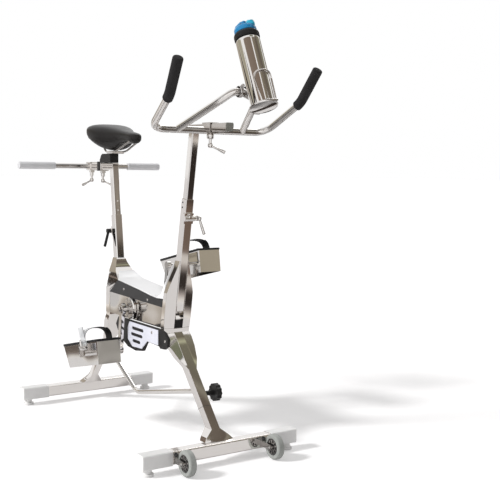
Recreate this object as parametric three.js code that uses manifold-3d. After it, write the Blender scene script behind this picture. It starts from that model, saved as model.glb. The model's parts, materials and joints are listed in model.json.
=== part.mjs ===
// A pool exercise bike: a bright steel frame on two feet, with cranks, box pedals, a saddle,
// a rear hand bar, a handlebar and a drinking bottle in its cage.
// Lengths are millimetres. X runs forward, Y to the rider's left and Z up.
import * as THREE from 'three';
import { mergeVertices } from 'three/addons/utils/BufferGeometryUtils.js';
import Module from 'manifold-3d';

// Fits shared by the pieces.
const GAP = 0.3;
const SLIDE_GAP = 0.4;
const TURN_GAP = 0.5;
const OVERRUN = 6;
const LAP = 1;
const MERGE_GAP = 0.001;

// Square stock of the frame.
const POST_SIDE = 26;
const COLUMN_SIDE = 31;
const LEG_SIDE = 31;
const REAR_LEG_SIDE = 25;
const STOCK_CHAMFER = 3;
const SHEET = 2.5;

// The two feet, their end boots and glides.
const FOOT_SPACING = 969;
const FOOT_SIDE = 40;
const FRONT_TRACK = 560;
const REAR_TRACK = 549;
const BOOT_SIDE = 45;
const BOOT_LENGTH = 100;
const BOOT_END_WALL = 6;
const GLIDE_HEIGHT = 23;
const GLIDE_RADIUS = 19;
const GLIDE_NECK_RADIUS = 13;
const GLIDE_RIM = 9;
const GLIDE_INSET = 26;

// Transport wheels on the front foot.
const WHEEL_RADIUS = 40;
const WHEEL_LIFT = 1;
const WHEEL_WIDTH = 24;
const WHEEL_TRACK = 317;
const WHEEL_REACH = 47;
const HUB_RADIUS = 26;
const HUB_WIDTH = 21;
const HUB_HOLE_RADIUS = 4.6;
const HUB_HOLE_RING = 18;
const HUB_HOLES = 9;
const AXLE_RADIUS = 4;
const FORK_SHEET = 3;
const FORK_ARM = 17;
const FORK_SEAT = 30;
const AXLE_HEAD_RADIUS = 7;
const AXLE_HEAD = 4;

// Legs: the front one rises to a knee below the front column, the rear one to the seat column.
// Knee and hip lie a drop below the body's bottom.
const KNEE_DROP = 14;
const KNEE_BACK = 283;
const FRONT_LEAN = 9.54;
const SEAT_BACK = 392;
const SEAT_LEAN = 7.41;
const HIP_DROP = 8;
const GUSSET_HEIGHT = 33;
const FRONT_GUSSET_HALF = 52;
const REAR_GUSSET_HALF = 38;
const FRONT_FLARE_SHARES = [[0.71, 0], [0.79, 0.56], [0.885, 0.92], [0.955, 1], [1, 1]];
const REAR_FLARE_SHARES = [[0.67, 0], [0.8, 0.46], [0.92, 0.9], [1, 1]];

// The body between the columns. Its bottom lies a drop below the crank axle, and its other heights,
// with the fairing's and the feet of the posts, are rises from there.
const BODY_HALF = 49;
const BODY_DROP = 38;
const CHEEK_RISE = 226;
const CHEEK_FLARE_SHARES = [[0, 0.96], [0.16, 1], [0.4, 1], [0.52, 0.98], [0.63, 0.78], [0.76, 0.5],
  [0.9, 0.2], [1, 0.03]];
const RECESS_HEIGHT = 61;
const KNEE_BOLT_RADIUS = 7;
const KNEE_NUT_RADIUS = 12;
const KNEE_NUT_HALF = 9;
const KNEE_BOLT_SINK = 16;
const PANEL_SHEET = 3.2;
const PANEL_REAR_LIFT = 128;
const PANEL_FRONT_LIFT = 99;
const PANEL_DIP_SHARES = [[0, 1], [0.26, 0.76], [0.56, 0.46], [0.82, 0.14], [1, 0]];
const PANEL_FRONT_RUN = 45;
const PANEL_REAR_RUN = 33;
const PANEL_REAR_RISE = 26;
const PANEL_TONGUE_SHARE = 0.62;
const SWOOP_SHARES = [[0.12, 0.42, 0.98], [0.48, 0.12, 0.78], [0.84, 0.055, 0.36], [0.97, 0.03, 0.03]];
const BAND_SHEET = 1.6;
const BAND_REAR_RISE = 76;
const BAND_FRONT_RISE = 70;

// The seat column's fairing: shares of its height, then of the reach forward, then of the flare.
const FAIRING_RISE = 196;
const FAIRING_NOSE_RISE = 124;
const FAIRING_REACH = 67;
const FAIRING_REAR_SHARE = 0.82;
const FAIRING_SHARES = [[0.4, 0.3, 0.54], [0.76, 0.08, 0.2], [1, 0, 0.03]];
const FAIRING_WAIST_RISE = 86;

// The side cover below the body, on the right.
const COVER_LENGTH = 379;
const COVER_HEIGHT = 101;
const COVER_FRONT_X = -243;
const COVER_SHEET = 11;
const COVER_INNER_Y = 53;
const COVER_OUTLINE_SHARES = [[0.05, 1], [0, 0.72], [0.06, 0.44], [0.14, 0.22], [0.25, 0.05],
  [0.4, 0], [0.545, 0.08], [0.62, 0.45], [0.84, 0.42], [0.86, 0.36], [0.94, 0.38], [0.99, 0.5],
  [1, 0.74], [0.94, 0.93], [0.86, 1]];
const PLATE_SHEET = 3;
const PLATE_OUTLINE_SHARES = [[0.3, 0.96], [0.84, 0.96], [0.84, 0.46], [0.64, 0.48], [0.54, 0.16],
  [0.36, 0.13], [0.27, 0.34], [0.26, 0.72]];
const PLATE_SLOT_SHARES = [[0.36, 0.56, 0.77], [0.34, 0.54, 0.56], [0.37, 0.5, 0.34]];
const PLATE_SLOT_HALF_SHARE = 0.055;
const PLATE_SLOT_TIP_SHARE = 0.014;

// Cranks and their bearings.
const CRANK_X = -526;
const CRANK_HEIGHT = 418;
const CRANK_LENGTH = 146;
const CRANK_REST = 6.3;
const CRANK_AXLE_RADIUS = 10;
const CRANK_INNER_Y = 79;
const CRANK_SHEET = 13;
const CRANK_HUB_RADIUS = 20;
const CRANK_END_RADIUS = 14;
const CRANK_WAIST = 22;
const CRANK_CHAMFER = 2;
const HOUSING_RADIUS = 37.5;
const HOUSING_STEP_RADIUS = 33;
const HOUSING_DEPTH = 10;
const HOUSING_BOLTS = 8;
const HOUSING_BOLT_RADIUS = 4;
const HOUSING_BOLT_RING = 30;
const HOUSING_BOLT_HEAD = 3;
const HOUSING_NOSE_RADIUS = 21;
const HOUSING_NOSE = 8;

// Box pedals, hung on their spindles with the toe up.
const PEDAL_Y = 185;
const PEDAL_HALF = 41;
const PEDAL_PITCH = 13;
const PEDAL_TOE = 124;
const PEDAL_TOE_FOOT = 118;
const PEDAL_HEEL = 157;
const PEDAL_HEEL_FOOT = 123;
const PEDAL_TOP = 33;
const PEDAL_BOTTOM = 43;
const PEDAL_WINDOW_REAR = 30;
const PEDAL_WINDOW_FRONT = 112;
const PEDAL_WINDOW_BOTTOM = 11;
const SPINDLE_RADIUS = 6;
const BARREL_RADIUS = 9;
const BARREL_INNER = 36;
const PEDAL_WEB = 12;
const PAD_THICKNESS = 8;
const PAD_OVERHANG = 1.5;
const PAD_RIBS = 14;
const PAD_RIB_DEPTH = 1.6;
const STRAP_WIDTH = 38;
const STRAP_FORWARD = 27;
const STRAP_SHEET = 2.6;
const STRAP_BULGE = 4;
const STRAP_RISE = 42;
const STRAP_DROP = 30;
const STRAP_PAD = 3.6;
const STRAP_PAD_SPAN = 52;
const STRAP_TAIL = 40;
const STRAP_TAIL_LEAN = 8;
const ARCH_POWER_SHARE = 0.72;
const ARCH_STEPS = 18;

// The lower strut and its knob.
const STRUT_RADIUS = 8;
const STRUT_FRONT_HEIGHT = 196;
const STRUT_REAR_HEIGHT = 238;
const STRUT_BEND_BACK = 557;
const STRUT_BEND_HEIGHT = 103;
const STRUT_BEND_RADIUS = 20;
const KNOB_DROP = 9;
const KNOB_RADIUS = 28;
const KNOB_LOBE = 1.5;
const KNOB_LOBES = 12;
const KNOB_THICKNESS = 17;
const KNOB_STEM = 35;
const KNOB_STEM_RADIUS = 8;

// Telescoping posts and their locks.
const HANDLE_POST_RISE = 180;
const HANDLE_BAR_HEIGHT = 1031;
const FRONT_SLEEVE_TOP = 808;
const SEAT_POST_RISE = 145;
const POST_HOLE_RADIUS = 3;
const POST_HOLE_DEPTH = 5;
const POST_HOLE_HEIGHTS = [749, 782];
const SEAT_BAR_HEIGHT = 908;
const SEAT_SLEEVE_TOP = 732;
const SEAT_SLEEVE_RISE = 20;

// The lock on each sleeve: a block with a round barrel across it, and a lever on the barrel.
const FRONT_LOCK_DROP = 62;
const SEAT_LOCK_DROP = 60;
const LOCK_BLOCK_DEPTH = 9;
const LOCK_BLOCK_HEIGHT = 34;
const LOCK_BLOCK_NEAR = 14;
const LOCK_BLOCK_FAR = 22;
const LOCK_BARREL_RADIUS = 9;
const LOCK_BARREL_END = 4;
const LOCK_NUT_RADIUS = 8;
const LOCK_NUT = 13;
const LOCK_LEVER_LENGTH = 60;
const LOCK_LEVER_RADIUS = 5;
const LOCK_LEVER_LEAN = 15;

// Clamp levers: a round nut with a drooping handle, and the headings of the three handles.
const NUT_RADIUS = 7.5;
const NUT_HEIGHT = 14;
const LEVER_LENGTH = 50;
const LEVER_RADIUS = 4;
const LEVER_TIP_RADIUS = 5;
const LEVER_DROOP = 24;
const REAR_LEVER_HEADING = 205;
const SADDLE_LEVER_HEADING = 62;
const HANDLE_LEVER_HEADING = 48;

// The bar under the saddle, the rear hand bar and its grips.
const SEAT_BAR_REAR = 222;
const HAND_BAR_INSET = 16;
const HAND_BAR_RADIUS = 10;
const HAND_BAR_HALF = 292;
const REAR_GRIP_RADIUS = 13.5;
const REAR_GRIP_LENGTH = 142;
const REAR_HOUSING = 34;
const REAR_HOUSING_SIDE = 32;
const CLAMP_STEM = 30;
const CLAMP_STEM_RADIUS = 4.5;
const CLAMP_NECK = 20;
const CLAMP_NECK_RADIUS = 7.5;
const CLAMP_PAD = 8;

// The saddle's sliding carriage, rails and cushion.
const CARRIAGE_REAR = 122;
const CARRIAGE_STEP = 23;
const CARRIAGE_LENGTH = 89;
const CARRIAGE_HALF = 17;
const CARRIAGE_HEIGHT = 33;
const CARRIAGE_COLLAR = 30;
const CARRIAGE_WALL = 4;
const RAIL_RADIUS = 3.6;
const RAIL_HALF = 21;
const RAIL_LIFT = 7;
const RAIL_CLAMP = 44;
const SADDLE_NOSE_REACH = 188;
const SADDLE_LENGTH = 272;
const SADDLE_HALF = 88;
const SADDLE_RISE = 154;
const SADDLE_DEPTH = 106;
const SADDLE_SHARES = [[0, 0.07, 0.46, 0.58], [0.02, 0.19, 0.38, 0.66], [0.08, 0.27, 0.33, 0.69],
  [0.2, 0.3, 0.28, 0.68], [0.34, 0.4, 0.22, 0.7], [0.5, 0.62, 0.13, 0.84], [0.66, 0.9, 0.05, 0.9],
  [0.8, 1, 0, 0.8], [0.91, 0.93, 0.01, 0.64], [0.98, 0.66, 0.08, 0.5], [1, 0.35, 0.18, 0.4]];
const SADDLE_WAIST_SHARE = 0.42;
const SADDLE_CROWN_SHARE = 0.62;
const SADDLE_UPPER_SHARE = 0.72;
const SADDLE_LOWER_SHARE = 0.9;
const SADDLE_SIDES = 20;
const RAIL_PATH_SHARES = [[0.88, 0.56], [0.8, 0.97], [0.5, 0.97], [0.1, 0.6]];

// The handlebar, its loop, grips and sliding sleeve.
const HANDLE_BAR_REAR = 22;
const HANDLE_BAR_FRONT = 202;
const BAR_RADIUS = 11;
const HANDLE_X = -99;
const SLEEVE_LENGTH = 46;
const SLEEVE_WALL = 3;
const BEND_HALF = 205;
const BEND_RADIUS = 34;
const GRIP_BEND = 17;
const GRIP_LOW = [53, 230, 1111];
const GRIP_HIGH = [122, 242, 1208];
const GRIP_RADIUS = 15.5;
const GRIP_END_WALL = 4;
const LOOP_ROOT_HALF = 118;
const LOOP_SHOULDER = [54, 62, 1104];
const LOOP_CROWN = [79, 33, 1130];
const LOOP_BEND = 19;
const PLUG_LENGTH = 15;
const PLUG_FLANGE = 3;

// The bottle and its cage, tilted back.
const BOTTLE_FOOT = [184, 0, 1083];
const BOTTLE_TILT = 23.8;
const BOTTLE_RADIUS = 36;
const BOTTLE_HEIGHT = 212;
const BOTTLE_SHOULDER = 4;
const BOTTLE_MOUTH_RADIUS = 33.5;
const LID_RADIUS = 37;
const LID_HEIGHT = 26;
const LID_TOP_RADIUS = 34;
const CAP_RADIUS = 28;
const CAP_TOP_RADIUS = 24;
const CAP_HEIGHT = 29;
const CAP_STEP_SHARE = 0.34;
const SPOUT_HALF = 11;
const SPOUT_SHARES = [[-1, 0.2], [-0.95, 0.62], [-0.3, 0.84], [0.1, 1], [0.55, 0.98], [0.8, 0.7],
  [0.86, 0.2]];
const WIRE_RADIUS = 2.5;
const CAGE_GAP = 1.5;
const CAGE_RING_HEIGHT = 96;
const CAGE_BACK_HEIGHT = 132;
const CAGE_BACK_HALF = 12;
const CAGE_WIRE_ANGLE = 48;
const CAGE_FOOT_ANGLE = 38;
const CAGE_CORNER = 24;
const CAGE_FLOOR = 3;
const CAGE_CLAMP_WALL = 5;
const CAGE_CLAMP_HALF = 12;

// How many sides the round shapes have.
const ROUND = 24;
const ROD_SIDES = 14;
const WIRE_SIDES = 10;
const NUT_SIDES = 6;
const BEND_STEPS = 6;

// Materials.
const STEEL = { color: 0xb9b4ad, roughness: 0.12, metalness: 1 };
const BRIGHT = { color: 0xc9c9c9, roughness: 0.2, metalness: 1 };
const BOOT = { color: 0xd9dcde, roughness: 0.45, metalness: 0 };
const TYRE = { color: 0xa6aaa6, roughness: 0.5, metalness: 0 };
const BLACK = { color: 0x151515, roughness: 0.6, metalness: 0 };
const VINYL = { color: 0x0e0e0f, roughness: 0.45, metalness: 0 };
const DARK = { color: 0x2a2a2c, roughness: 0.35, metalness: 0 };
const WHITE = { color: 0xf2f2f2, roughness: 0.35, metalness: 0 };
const PALE_GRIP = { color: 0xcfd2d3, roughness: 0.55, metalness: 0 };
const OLIVE = { color: 0x3c3c34, roughness: 0.5, metalness: 0 };
const BLUE = { color: 0x1c7fc4, roughness: 0.4, metalness: 0 };

const wasm = await Module();
wasm.setup();
const group = new THREE.Group();
const vec = (x, y, z) => new THREE.Vector3(x, y, z);
const rad = (degrees) => THREE.MathUtils.degToRad(degrees);
const mix = THREE.MathUtils.lerp;

// Places that many pieces share.
const footZ = GLIDE_HEIGHT + BOOT_SIDE / 2;
const footTop = footZ + FOOT_SIDE / 2;
const frontFootX = -BOOT_SIDE / 2;
const rearFootX = frontFootX - FOOT_SPACING;
const kneeX = frontFootX - KNEE_BACK;
const bodyBottom = CRANK_HEIGHT - BODY_DROP;
const kneeHeight = bodyBottom - KNEE_DROP;
const hipHeight = bodyBottom - HIP_DROP;
const cheekTop = bodyBottom + CHEEK_RISE;
const panelRear = bodyBottom + PANEL_REAR_LIFT;
const panelFront = bodyBottom + PANEL_FRONT_LIFT;
const fairingTop = bodyBottom + FAIRING_RISE;
const fairingNose = bodyBottom + FAIRING_NOSE_RISE;
const fairingWaist = bodyBottom + FAIRING_WAIST_RISE;
const seatSleeveFoot = bodyBottom + SEAT_SLEEVE_RISE;
const seatPostFoot = bodyBottom + SEAT_POST_RISE;
const handlePostFoot = bodyBottom + HANDLE_POST_RISE;
const columnHalf = COLUMN_SIDE / 2 / Math.cos(rad(FRONT_LEAN));
const seatHalf = COLUMN_SIDE / 2 / Math.cos(rad(SEAT_LEAN));
const frontAxisX = (z) => kneeX + (z - kneeHeight) * Math.tan(rad(FRONT_LEAN));
const seatAxisX = (z) => kneeX - SEAT_BACK - (z - kneeHeight) * Math.tan(rad(SEAT_LEAN));
const frontUp = vec(Math.sin(rad(FRONT_LEAN)), 0, Math.cos(rad(FRONT_LEAN)));
const seatUp = vec(-Math.sin(rad(SEAT_LEAN)), 0, Math.cos(rad(SEAT_LEAN)));
const fairingRear = seatAxisX(fairingNose) - seatHalf;
const fairingFront = fairingRear + 2 * seatHalf;
const hipX = (fairingRear + fairingFront) / 2;
const frontLegX = (z) => mix(frontFootX, kneeX, (z - footZ) / (kneeHeight - footZ));
const rearLegX = (z) => mix(rearFootX, hipX, (z - footZ) / (hipHeight - footZ));
const behindColumn = (z) => frontAxisX(z) - columnHalf - GAP;
const seatBarX = seatAxisX(SEAT_BAR_HEIGHT);
const saddleNoseX = seatBarX + SADDLE_NOSE_REACH;
const handleBarX = frontAxisX(HANDLE_BAR_HEIGHT);
const frontLockHeight = FRONT_SLEEVE_TOP - FRONT_LOCK_DROP;
const seatLockHeight = SEAT_SLEEVE_TOP - SEAT_LOCK_DROP;

// A closed geometry as a solid that can be cut and joined.
function solid(geometry) {
  const bare = geometry.clone();
  bare.deleteAttribute('normal');
  bare.deleteAttribute('uv');
  const merged = mergeVertices(bare, MERGE_GAP);
  const mesh = new wasm.Mesh({
    numProp: 3,
    vertProperties: merged.attributes.position.array,
    triVerts: new Uint32Array(merged.index.array),
  });
  return new wasm.Manifold(mesh);
}

// A solid as a three.js geometry.
function fromSolid(shape) {
  const mesh = shape.getMesh();
  const geometry = new THREE.BufferGeometry();
  geometry.setAttribute('position', new THREE.BufferAttribute(mesh.vertProperties, mesh.numProp));
  geometry.setIndex(new THREE.BufferAttribute(mesh.triVerts, 1));
  geometry.computeVertexNormals();
  return geometry;
}

// One geometry from several that overlap.
function join(...geometries) {
  return fromSolid(geometries.map(solid).reduce((whole, next) => whole.add(next)));
}

// A geometry with the others taken out of it.
function cut(geometry, ...tools) {
  return fromSolid(tools.map(solid).reduce((whole, tool) => whole.subtract(tool), solid(geometry)));
}

// A skin through rings of points, closed by a fan at each end, faces outward.
function loft(rings) {
  const count = rings[0].length;
  const points = rings.flat();
  const faces = [];
  for (let r = 0; r + 1 < rings.length; r += 1) {
    for (let i = 0; i < count; i += 1) {
      const a = r * count + i;
      const b = r * count + ((i + 1) % count);
      faces.push(a, b, b + count, a, b + count, a + count);
    }
  }
  const last = (rings.length - 1) * count;
  for (let i = 1; i + 1 < count; i += 1) {
    faces.push(0, i + 1, i);
    faces.push(last, last + i, last + i + 1);
  }
  let volume = 0;
  for (let f = 0; f < faces.length; f += 3) {
    const [a, b, c] = [points[faces[f]], points[faces[f + 1]], points[faces[f + 2]]];
    volume += a.dot(b.clone().cross(c));
  }
  if (volume < 0) faces.reverse();
  const geometry = new THREE.BufferGeometry().setFromPoints(points);
  geometry.setIndex(faces);
  geometry.computeVertexNormals();
  return geometry;
}

// A section of a square bar with its corners taken off, or of a round rod.
function squareSection(width, depth = width, chamfer = STOCK_CHAMFER) {
  const [w, d] = [width / 2, depth / 2];
  return [[w - chamfer, d], [w, d - chamfer], [w, chamfer - d], [w - chamfer, -d],
    [chamfer - w, -d], [-w, chamfer - d], [-w, d - chamfer], [chamfer - w, d]];
}
function roundSection(radius, sides = ROD_SIDES) {
  return Array.from({ length: sides }, (_, i) => {
    const turn = (i / sides) * 2 * Math.PI;
    return [radius * Math.cos(turn), radius * Math.sin(turn)];
  });
}

// Points along a line of corners, each corner rounded with its own reach or the last one given.
function bent(corners, ...radii) {
  const path = [corners[0]];
  const last = corners.length - 1;
  for (let i = 1; i < last; i += 1) {
    const before = corners[i - 1].clone().sub(corners[i]);
    const after = corners[i + 1].clone().sub(corners[i]);
    const room = Math.min(before.length() / (i > 1 ? 2 : 1), after.length() / (i < last - 1 ? 2 : 1));
    const reach = Math.min(radii[Math.min(i, radii.length) - 1], room);
    const curve = new THREE.QuadraticBezierCurve3(
      corners[i].clone().addScaledVector(before.normalize(), reach),
      corners[i],
      corners[i].clone().addScaledVector(after.normalize(), reach),
    );
    path.push(...curve.getPoints(BEND_STEPS));
  }
  path.push(corners[last]);
  return path.filter((point, i) => i === 0 || point.distanceTo(path[i - 1]) > MERGE_GAP);
}

// A section carried along a path. Side is the direction of the section's first axis at the start.
function sweep(path, section, side = vec(0, 1, 0)) {
  const rings = [];
  let first = side.clone();
  for (let i = 0; i < path.length; i += 1) {
    const back = path[Math.max(i - 1, 0)];
    const ahead = path[Math.min(i + 1, path.length - 1)];
    const along = ahead.clone().sub(back).normalize();
    first.addScaledVector(along, -first.dot(along)).normalize();
    const second = along.clone().cross(first);
    const [u, v] = [first.clone(), second];
    rings.push(section.map(([a, b]) => path[i].clone().addScaledVector(u, a).addScaledVector(v, b)));
  }
  return loft(rings);
}
const bar = (from, to, section, side) => sweep([from, to], section, side);
const rod = (from, to, radius, sides = ROD_SIDES) => {
  const along = to.clone().sub(from).normalize();
  const side = Math.abs(along.y) > 1 / 2 ? vec(1, 0, 0) : vec(0, 1, 0);
  return bar(from, to, roundSection(radius, sides), side);
};

// A box given by two opposite corners.
function block(x0, x1, y0, y1, z0, z1) {
  const geometry = new THREE.BoxGeometry(x1 - x0, y1 - y0, z1 - z0);
  return geometry.translate((x0 + x1) / 2, (y0 + y1) / 2, (z0 + z1) / 2);
}

// A plate with its outline in X and Z, from one Y to another.
function sidePlate(outline, y0, y1, holes = []) {
  const shape = new THREE.Shape(outline.map(([x, z]) => new THREE.Vector2(x, z)));
  shape.holes = holes.map((hole) => new THREE.Path(hole.map(([x, z]) => new THREE.Vector2(x, z))));
  const geometry = new THREE.ExtrudeGeometry(shape, { depth: y1 - y0, bevelEnabled: false });
  return geometry.rotateX(Math.PI / 2).translate(0, y1, 0);
}

// A turned piece: radius and height pairs from axis to axis, set along Y, outward from y.
function turnedY(profile, x, y, z, outward, sides = ROUND) {
  const points = profile.map(([r, h]) => new THREE.Vector2(r, h));
  const geometry = new THREE.LatheGeometry(points, sides);
  if (outward < 0) geometry.rotateX(Math.PI);
  return geometry.translate(x, y, z);
}

// A level four-cornered ring, as wide in front as behind unless it is told.
function levelRing(z, rear, front, half, frontHalf = half) {
  return [vec(rear, -half, z), vec(front, -frontHalf, z), vec(front, frontHalf, z), vec(rear, half, z)];
}

// A ring that straddles the Y axis of a side-on pair of points.
function pairRing([topX, topZ], [lowX, lowZ], half) {
  return [vec(topX, -half, topZ), vec(topX, half, topZ), vec(lowX, half, lowZ), vec(lowX, -half, lowZ)];
}

function add(name, geometry, look) {
  const mesh = new THREE.Mesh(geometry, new THREE.MeshStandardMaterial(look));
  mesh.name = name;
  group.add(mesh);
}

const sides = [['right', -1], ['left', 1]];

// A foot: a square tube between two boots, each boot with a round glide below it.
function foot(name, x, track) {
  const end = track / 2 - BOOT_END_WALL - GAP;
  const along = vec(1, 0, 0);
  const tube = bar(vec(x, -end, footZ), vec(x, end, footZ), squareSection(FOOT_SIDE), along);
  add(`${name}_foot_tube`, tube, STEEL);
  for (const [side, sign] of sides) {
    const outer = sign * track / 2;
    const inner = outer - sign * BOOT_LENGTH;
    const shell = bar(vec(x, inner, footZ), vec(x, outer, footZ), squareSection(BOOT_SIDE), along);
    const pocket = bar(vec(x, inner - sign * OVERRUN, footZ), vec(x, outer - sign * BOOT_END_WALL, footZ),
      squareSection(FOOT_SIDE + 2 * GAP), along);
    const glideY = outer - sign * GLIDE_INSET;
    const pad = rod(vec(x, glideY, 0), vec(x, glideY, GLIDE_RIM), GLIDE_RADIUS, ROUND);
    const lap = (BOOT_SIDE - FOOT_SIDE) / 4;
    const neck = rod(vec(x, glideY, GLIDE_RIM / 2), vec(x, glideY, GLIDE_HEIGHT + lap), GLIDE_NECK_RADIUS);
    add(`${name}_boot_${side}`, join(cut(shell, pocket), pad, neck), BOOT);
  }
}

// A transport wheel in a fork on the front face of the front foot, its axle fixed in the fork.
function transportWheel(side, sign) {
  const [x, y, z] = [WHEEL_REACH, sign * WHEEL_TRACK / 2, WHEEL_RADIUS + WHEEL_LIFT];
  const face = frontFootX + FOOT_SIDE / 2 + GAP;
  const inner = WHEEL_WIDTH / 2 + FORK_SHEET;
  const outer = inner + FORK_SHEET;
  const [low, high] = [footZ - FORK_SEAT / 2, footZ + FORK_SEAT / 2];
  const seat = block(face, face + FORK_SHEET, y - outer, y + outer, low, high);
  const arms = [-1, 1].flatMap((way) => {
    const [near, far] = [y + way * inner, y + way * outer];
    const [right, left] = [Math.min(near, far), Math.max(near, far)];
    return [block(face, x, right, left, z - FORK_ARM / 2, z + FORK_ARM / 2),
      rod(vec(x, right, z), vec(x, left, z), FORK_ARM / 2),
      rod(vec(x, far - way * LAP, z), vec(x, far + way * AXLE_HEAD, z), AXLE_HEAD_RADIUS)];
  });
  const axle = rod(vec(x, y - outer, z), vec(x, y + outer, z), AXLE_RADIUS);
  add(`wheel_fork_${side}`, join(seat, axle, ...arms), BRIGHT);

  const bore = rod(vec(x, y - WHEEL_WIDTH, z), vec(x, y + WHEEL_WIDTH, z), AXLE_RADIUS + TURN_GAP);
  const holes = Array.from({ length: HUB_HOLES }, (_, i) => {
    const turn = (i / HUB_HOLES) * 2 * Math.PI;
    const [hx, hz] = [x + HUB_HOLE_RING * Math.cos(turn), z + HUB_HOLE_RING * Math.sin(turn)];
    return rod(vec(hx, y - WHEEL_WIDTH, hz), vec(hx, y + WHEEL_WIDTH, hz), HUB_HOLE_RADIUS, WIRE_SIDES);
  });
  const disc = rod(vec(x, y - HUB_WIDTH / 2, z), vec(x, y + HUB_WIDTH / 2, z), HUB_RADIUS, ROUND);
  add(`wheel_hub_${side}`, cut(disc, bore, ...holes), BRIGHT);
  const inside = HUB_RADIUS + GAP;
  const shoulder = WHEEL_WIDTH / 6;
  const half = WHEEL_WIDTH / 2;
  const profile = [[inside, -half], [WHEEL_RADIUS - shoulder, -half], [WHEEL_RADIUS, shoulder - half],
    [WHEEL_RADIUS, half - shoulder], [WHEEL_RADIUS - shoulder, half], [inside, half], [inside, -half]];
  add(`wheel_tyre_${side}`, turnedY(profile, x, y, z, 1), TYRE);
}

// Rings of a leg from its gusset on the foot up to its flare, each grown by an allowance.
function legRings(axisX, top, side, gussetHalf, flares, topHalfDepth, grow = 0) {
  const slope = (axisX(top) - axisX(footTop)) / (top - footTop);
  const depth = (side / 2) * Math.hypot(1, slope) + grow;
  const low = footTop + GAP - grow;
  const rings = [levelRing(low, axisX(low) - FOOT_SIDE / 2, axisX(low) + FOOT_SIDE / 2, gussetHalf + grow)];
  const stem = footTop + GUSSET_HEIGHT;
  rings.push(levelRing(stem, axisX(stem) - depth, axisX(stem) + depth, side / 2 + grow));
  for (const [heightShare, flareShare] of flares) {
    const z = top * heightShare;
    const half = mix(side / 2, BODY_HALF - GAP, flareShare) + grow;
    const reach = heightShare < 1 ? mix(depth, topHalfDepth, flareShare / 3) : topHalfDepth + grow;
    rings.push(levelRing(z, axisX(z) - reach, axisX(z) + reach, half));
  }
  return rings;
}
function frontLeg(grow = 0) {
  const rings = legRings(frontLegX, kneeHeight, LEG_SIDE, FRONT_GUSSET_HALF, FRONT_FLARE_SHARES,
    columnHalf, grow);
  const top = bodyBottom - GAP;
  rings.push(levelRing(top, frontAxisX(top) - columnHalf - grow, frontAxisX(top) + columnHalf + grow,
    BODY_HALF - GAP + grow));
  return loft(rings);
}
function rearLeg(grow = 0) {
  const rings = legRings(rearLegX, hipHeight, REAR_LEG_SIDE, REAR_GUSSET_HALF, REAR_FLARE_SHARES,
    seatHalf, grow);
  const top = bodyBottom - GAP;
  rings.push(levelRing(top, fairingRear - grow, fairingFront + grow, BODY_HALF - GAP + grow));
  return loft(rings);
}

// The round strut from the front leg down and up to the rear leg.
function strut() {
  const start = vec(frontLegX(STRUT_FRONT_HEIGHT), 0, STRUT_FRONT_HEIGHT);
  const bend = vec(frontFootX - STRUT_BEND_BACK, 0, STRUT_BEND_HEIGHT);
  const end = vec(rearLegX(STRUT_REAR_HEIGHT), 0, STRUT_REAR_HEIGHT);
  const whole = sweep(bent([start, bend, end], STRUT_BEND_RADIUS), roundSection(STRUT_RADIUS));
  return cut(whole, frontLeg(GAP), rearLeg(GAP));
}

// The lobed knob on the left of the front leg, with its stem.
function strutKnob() {
  const z = STRUT_FRONT_HEIGHT - KNOB_DROP;
  const x = frontLegX(z);
  const from = LEG_SIDE / 2 + GAP;
  const outline = Array.from({ length: 4 * KNOB_LOBES }, (_, i) => {
    const turn = (i / (4 * KNOB_LOBES)) * 2 * Math.PI;
    const reach = KNOB_RADIUS + KNOB_LOBE * Math.cos(KNOB_LOBES * turn);
    return [x + reach * Math.cos(turn), z + reach * Math.sin(turn)];
  });
  const head = sidePlate(outline, from + KNOB_STEM, from + KNOB_STEM + KNOB_THICKNESS);
  return join(head, rod(vec(x, from, z), vec(x, from + KNOB_STEM + OVERRUN, z), KNOB_STEM_RADIUS));
}

// One cheek beside the front column, swelling from the column out to the body's width.
function frontCheek(sign) {
  const inner = COLUMN_SIDE / 2 + GAP;
  return loft(CHEEK_FLARE_SHARES.map(([heightShare, flareShare]) => {
    const z = mix(bodyBottom, cheekTop, heightShare);
    const outer = mix(inner, BODY_HALF + LAP, flareShare) + GAP;
    const [rear, front] = [frontAxisX(z) - columnHalf, frontAxisX(z) + columnHalf];
    return [vec(rear, sign * inner, z), vec(front, sign * inner, z), vec(front, sign * outer, z),
      vec(rear, sign * outer, z)];
  }));
}

// The bolt across the recess between the cheeks, with a hexagonal nut at its middle.
function kneeBolt() {
  const z = bodyBottom + RECESS_HEIGHT / 2;
  const [x, half] = [frontAxisX(z) + columnHalf - KNEE_BOLT_SINK, COLUMN_SIDE / 2];
  const bolt = rod(vec(x, -half, z), vec(x, half, z), KNEE_BOLT_RADIUS);
  return join(bolt, rod(vec(x, -KNEE_NUT_HALF, z), vec(x, KNEE_NUT_HALF, z), KNEE_NUT_RADIUS, NUT_SIDES));
}

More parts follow.
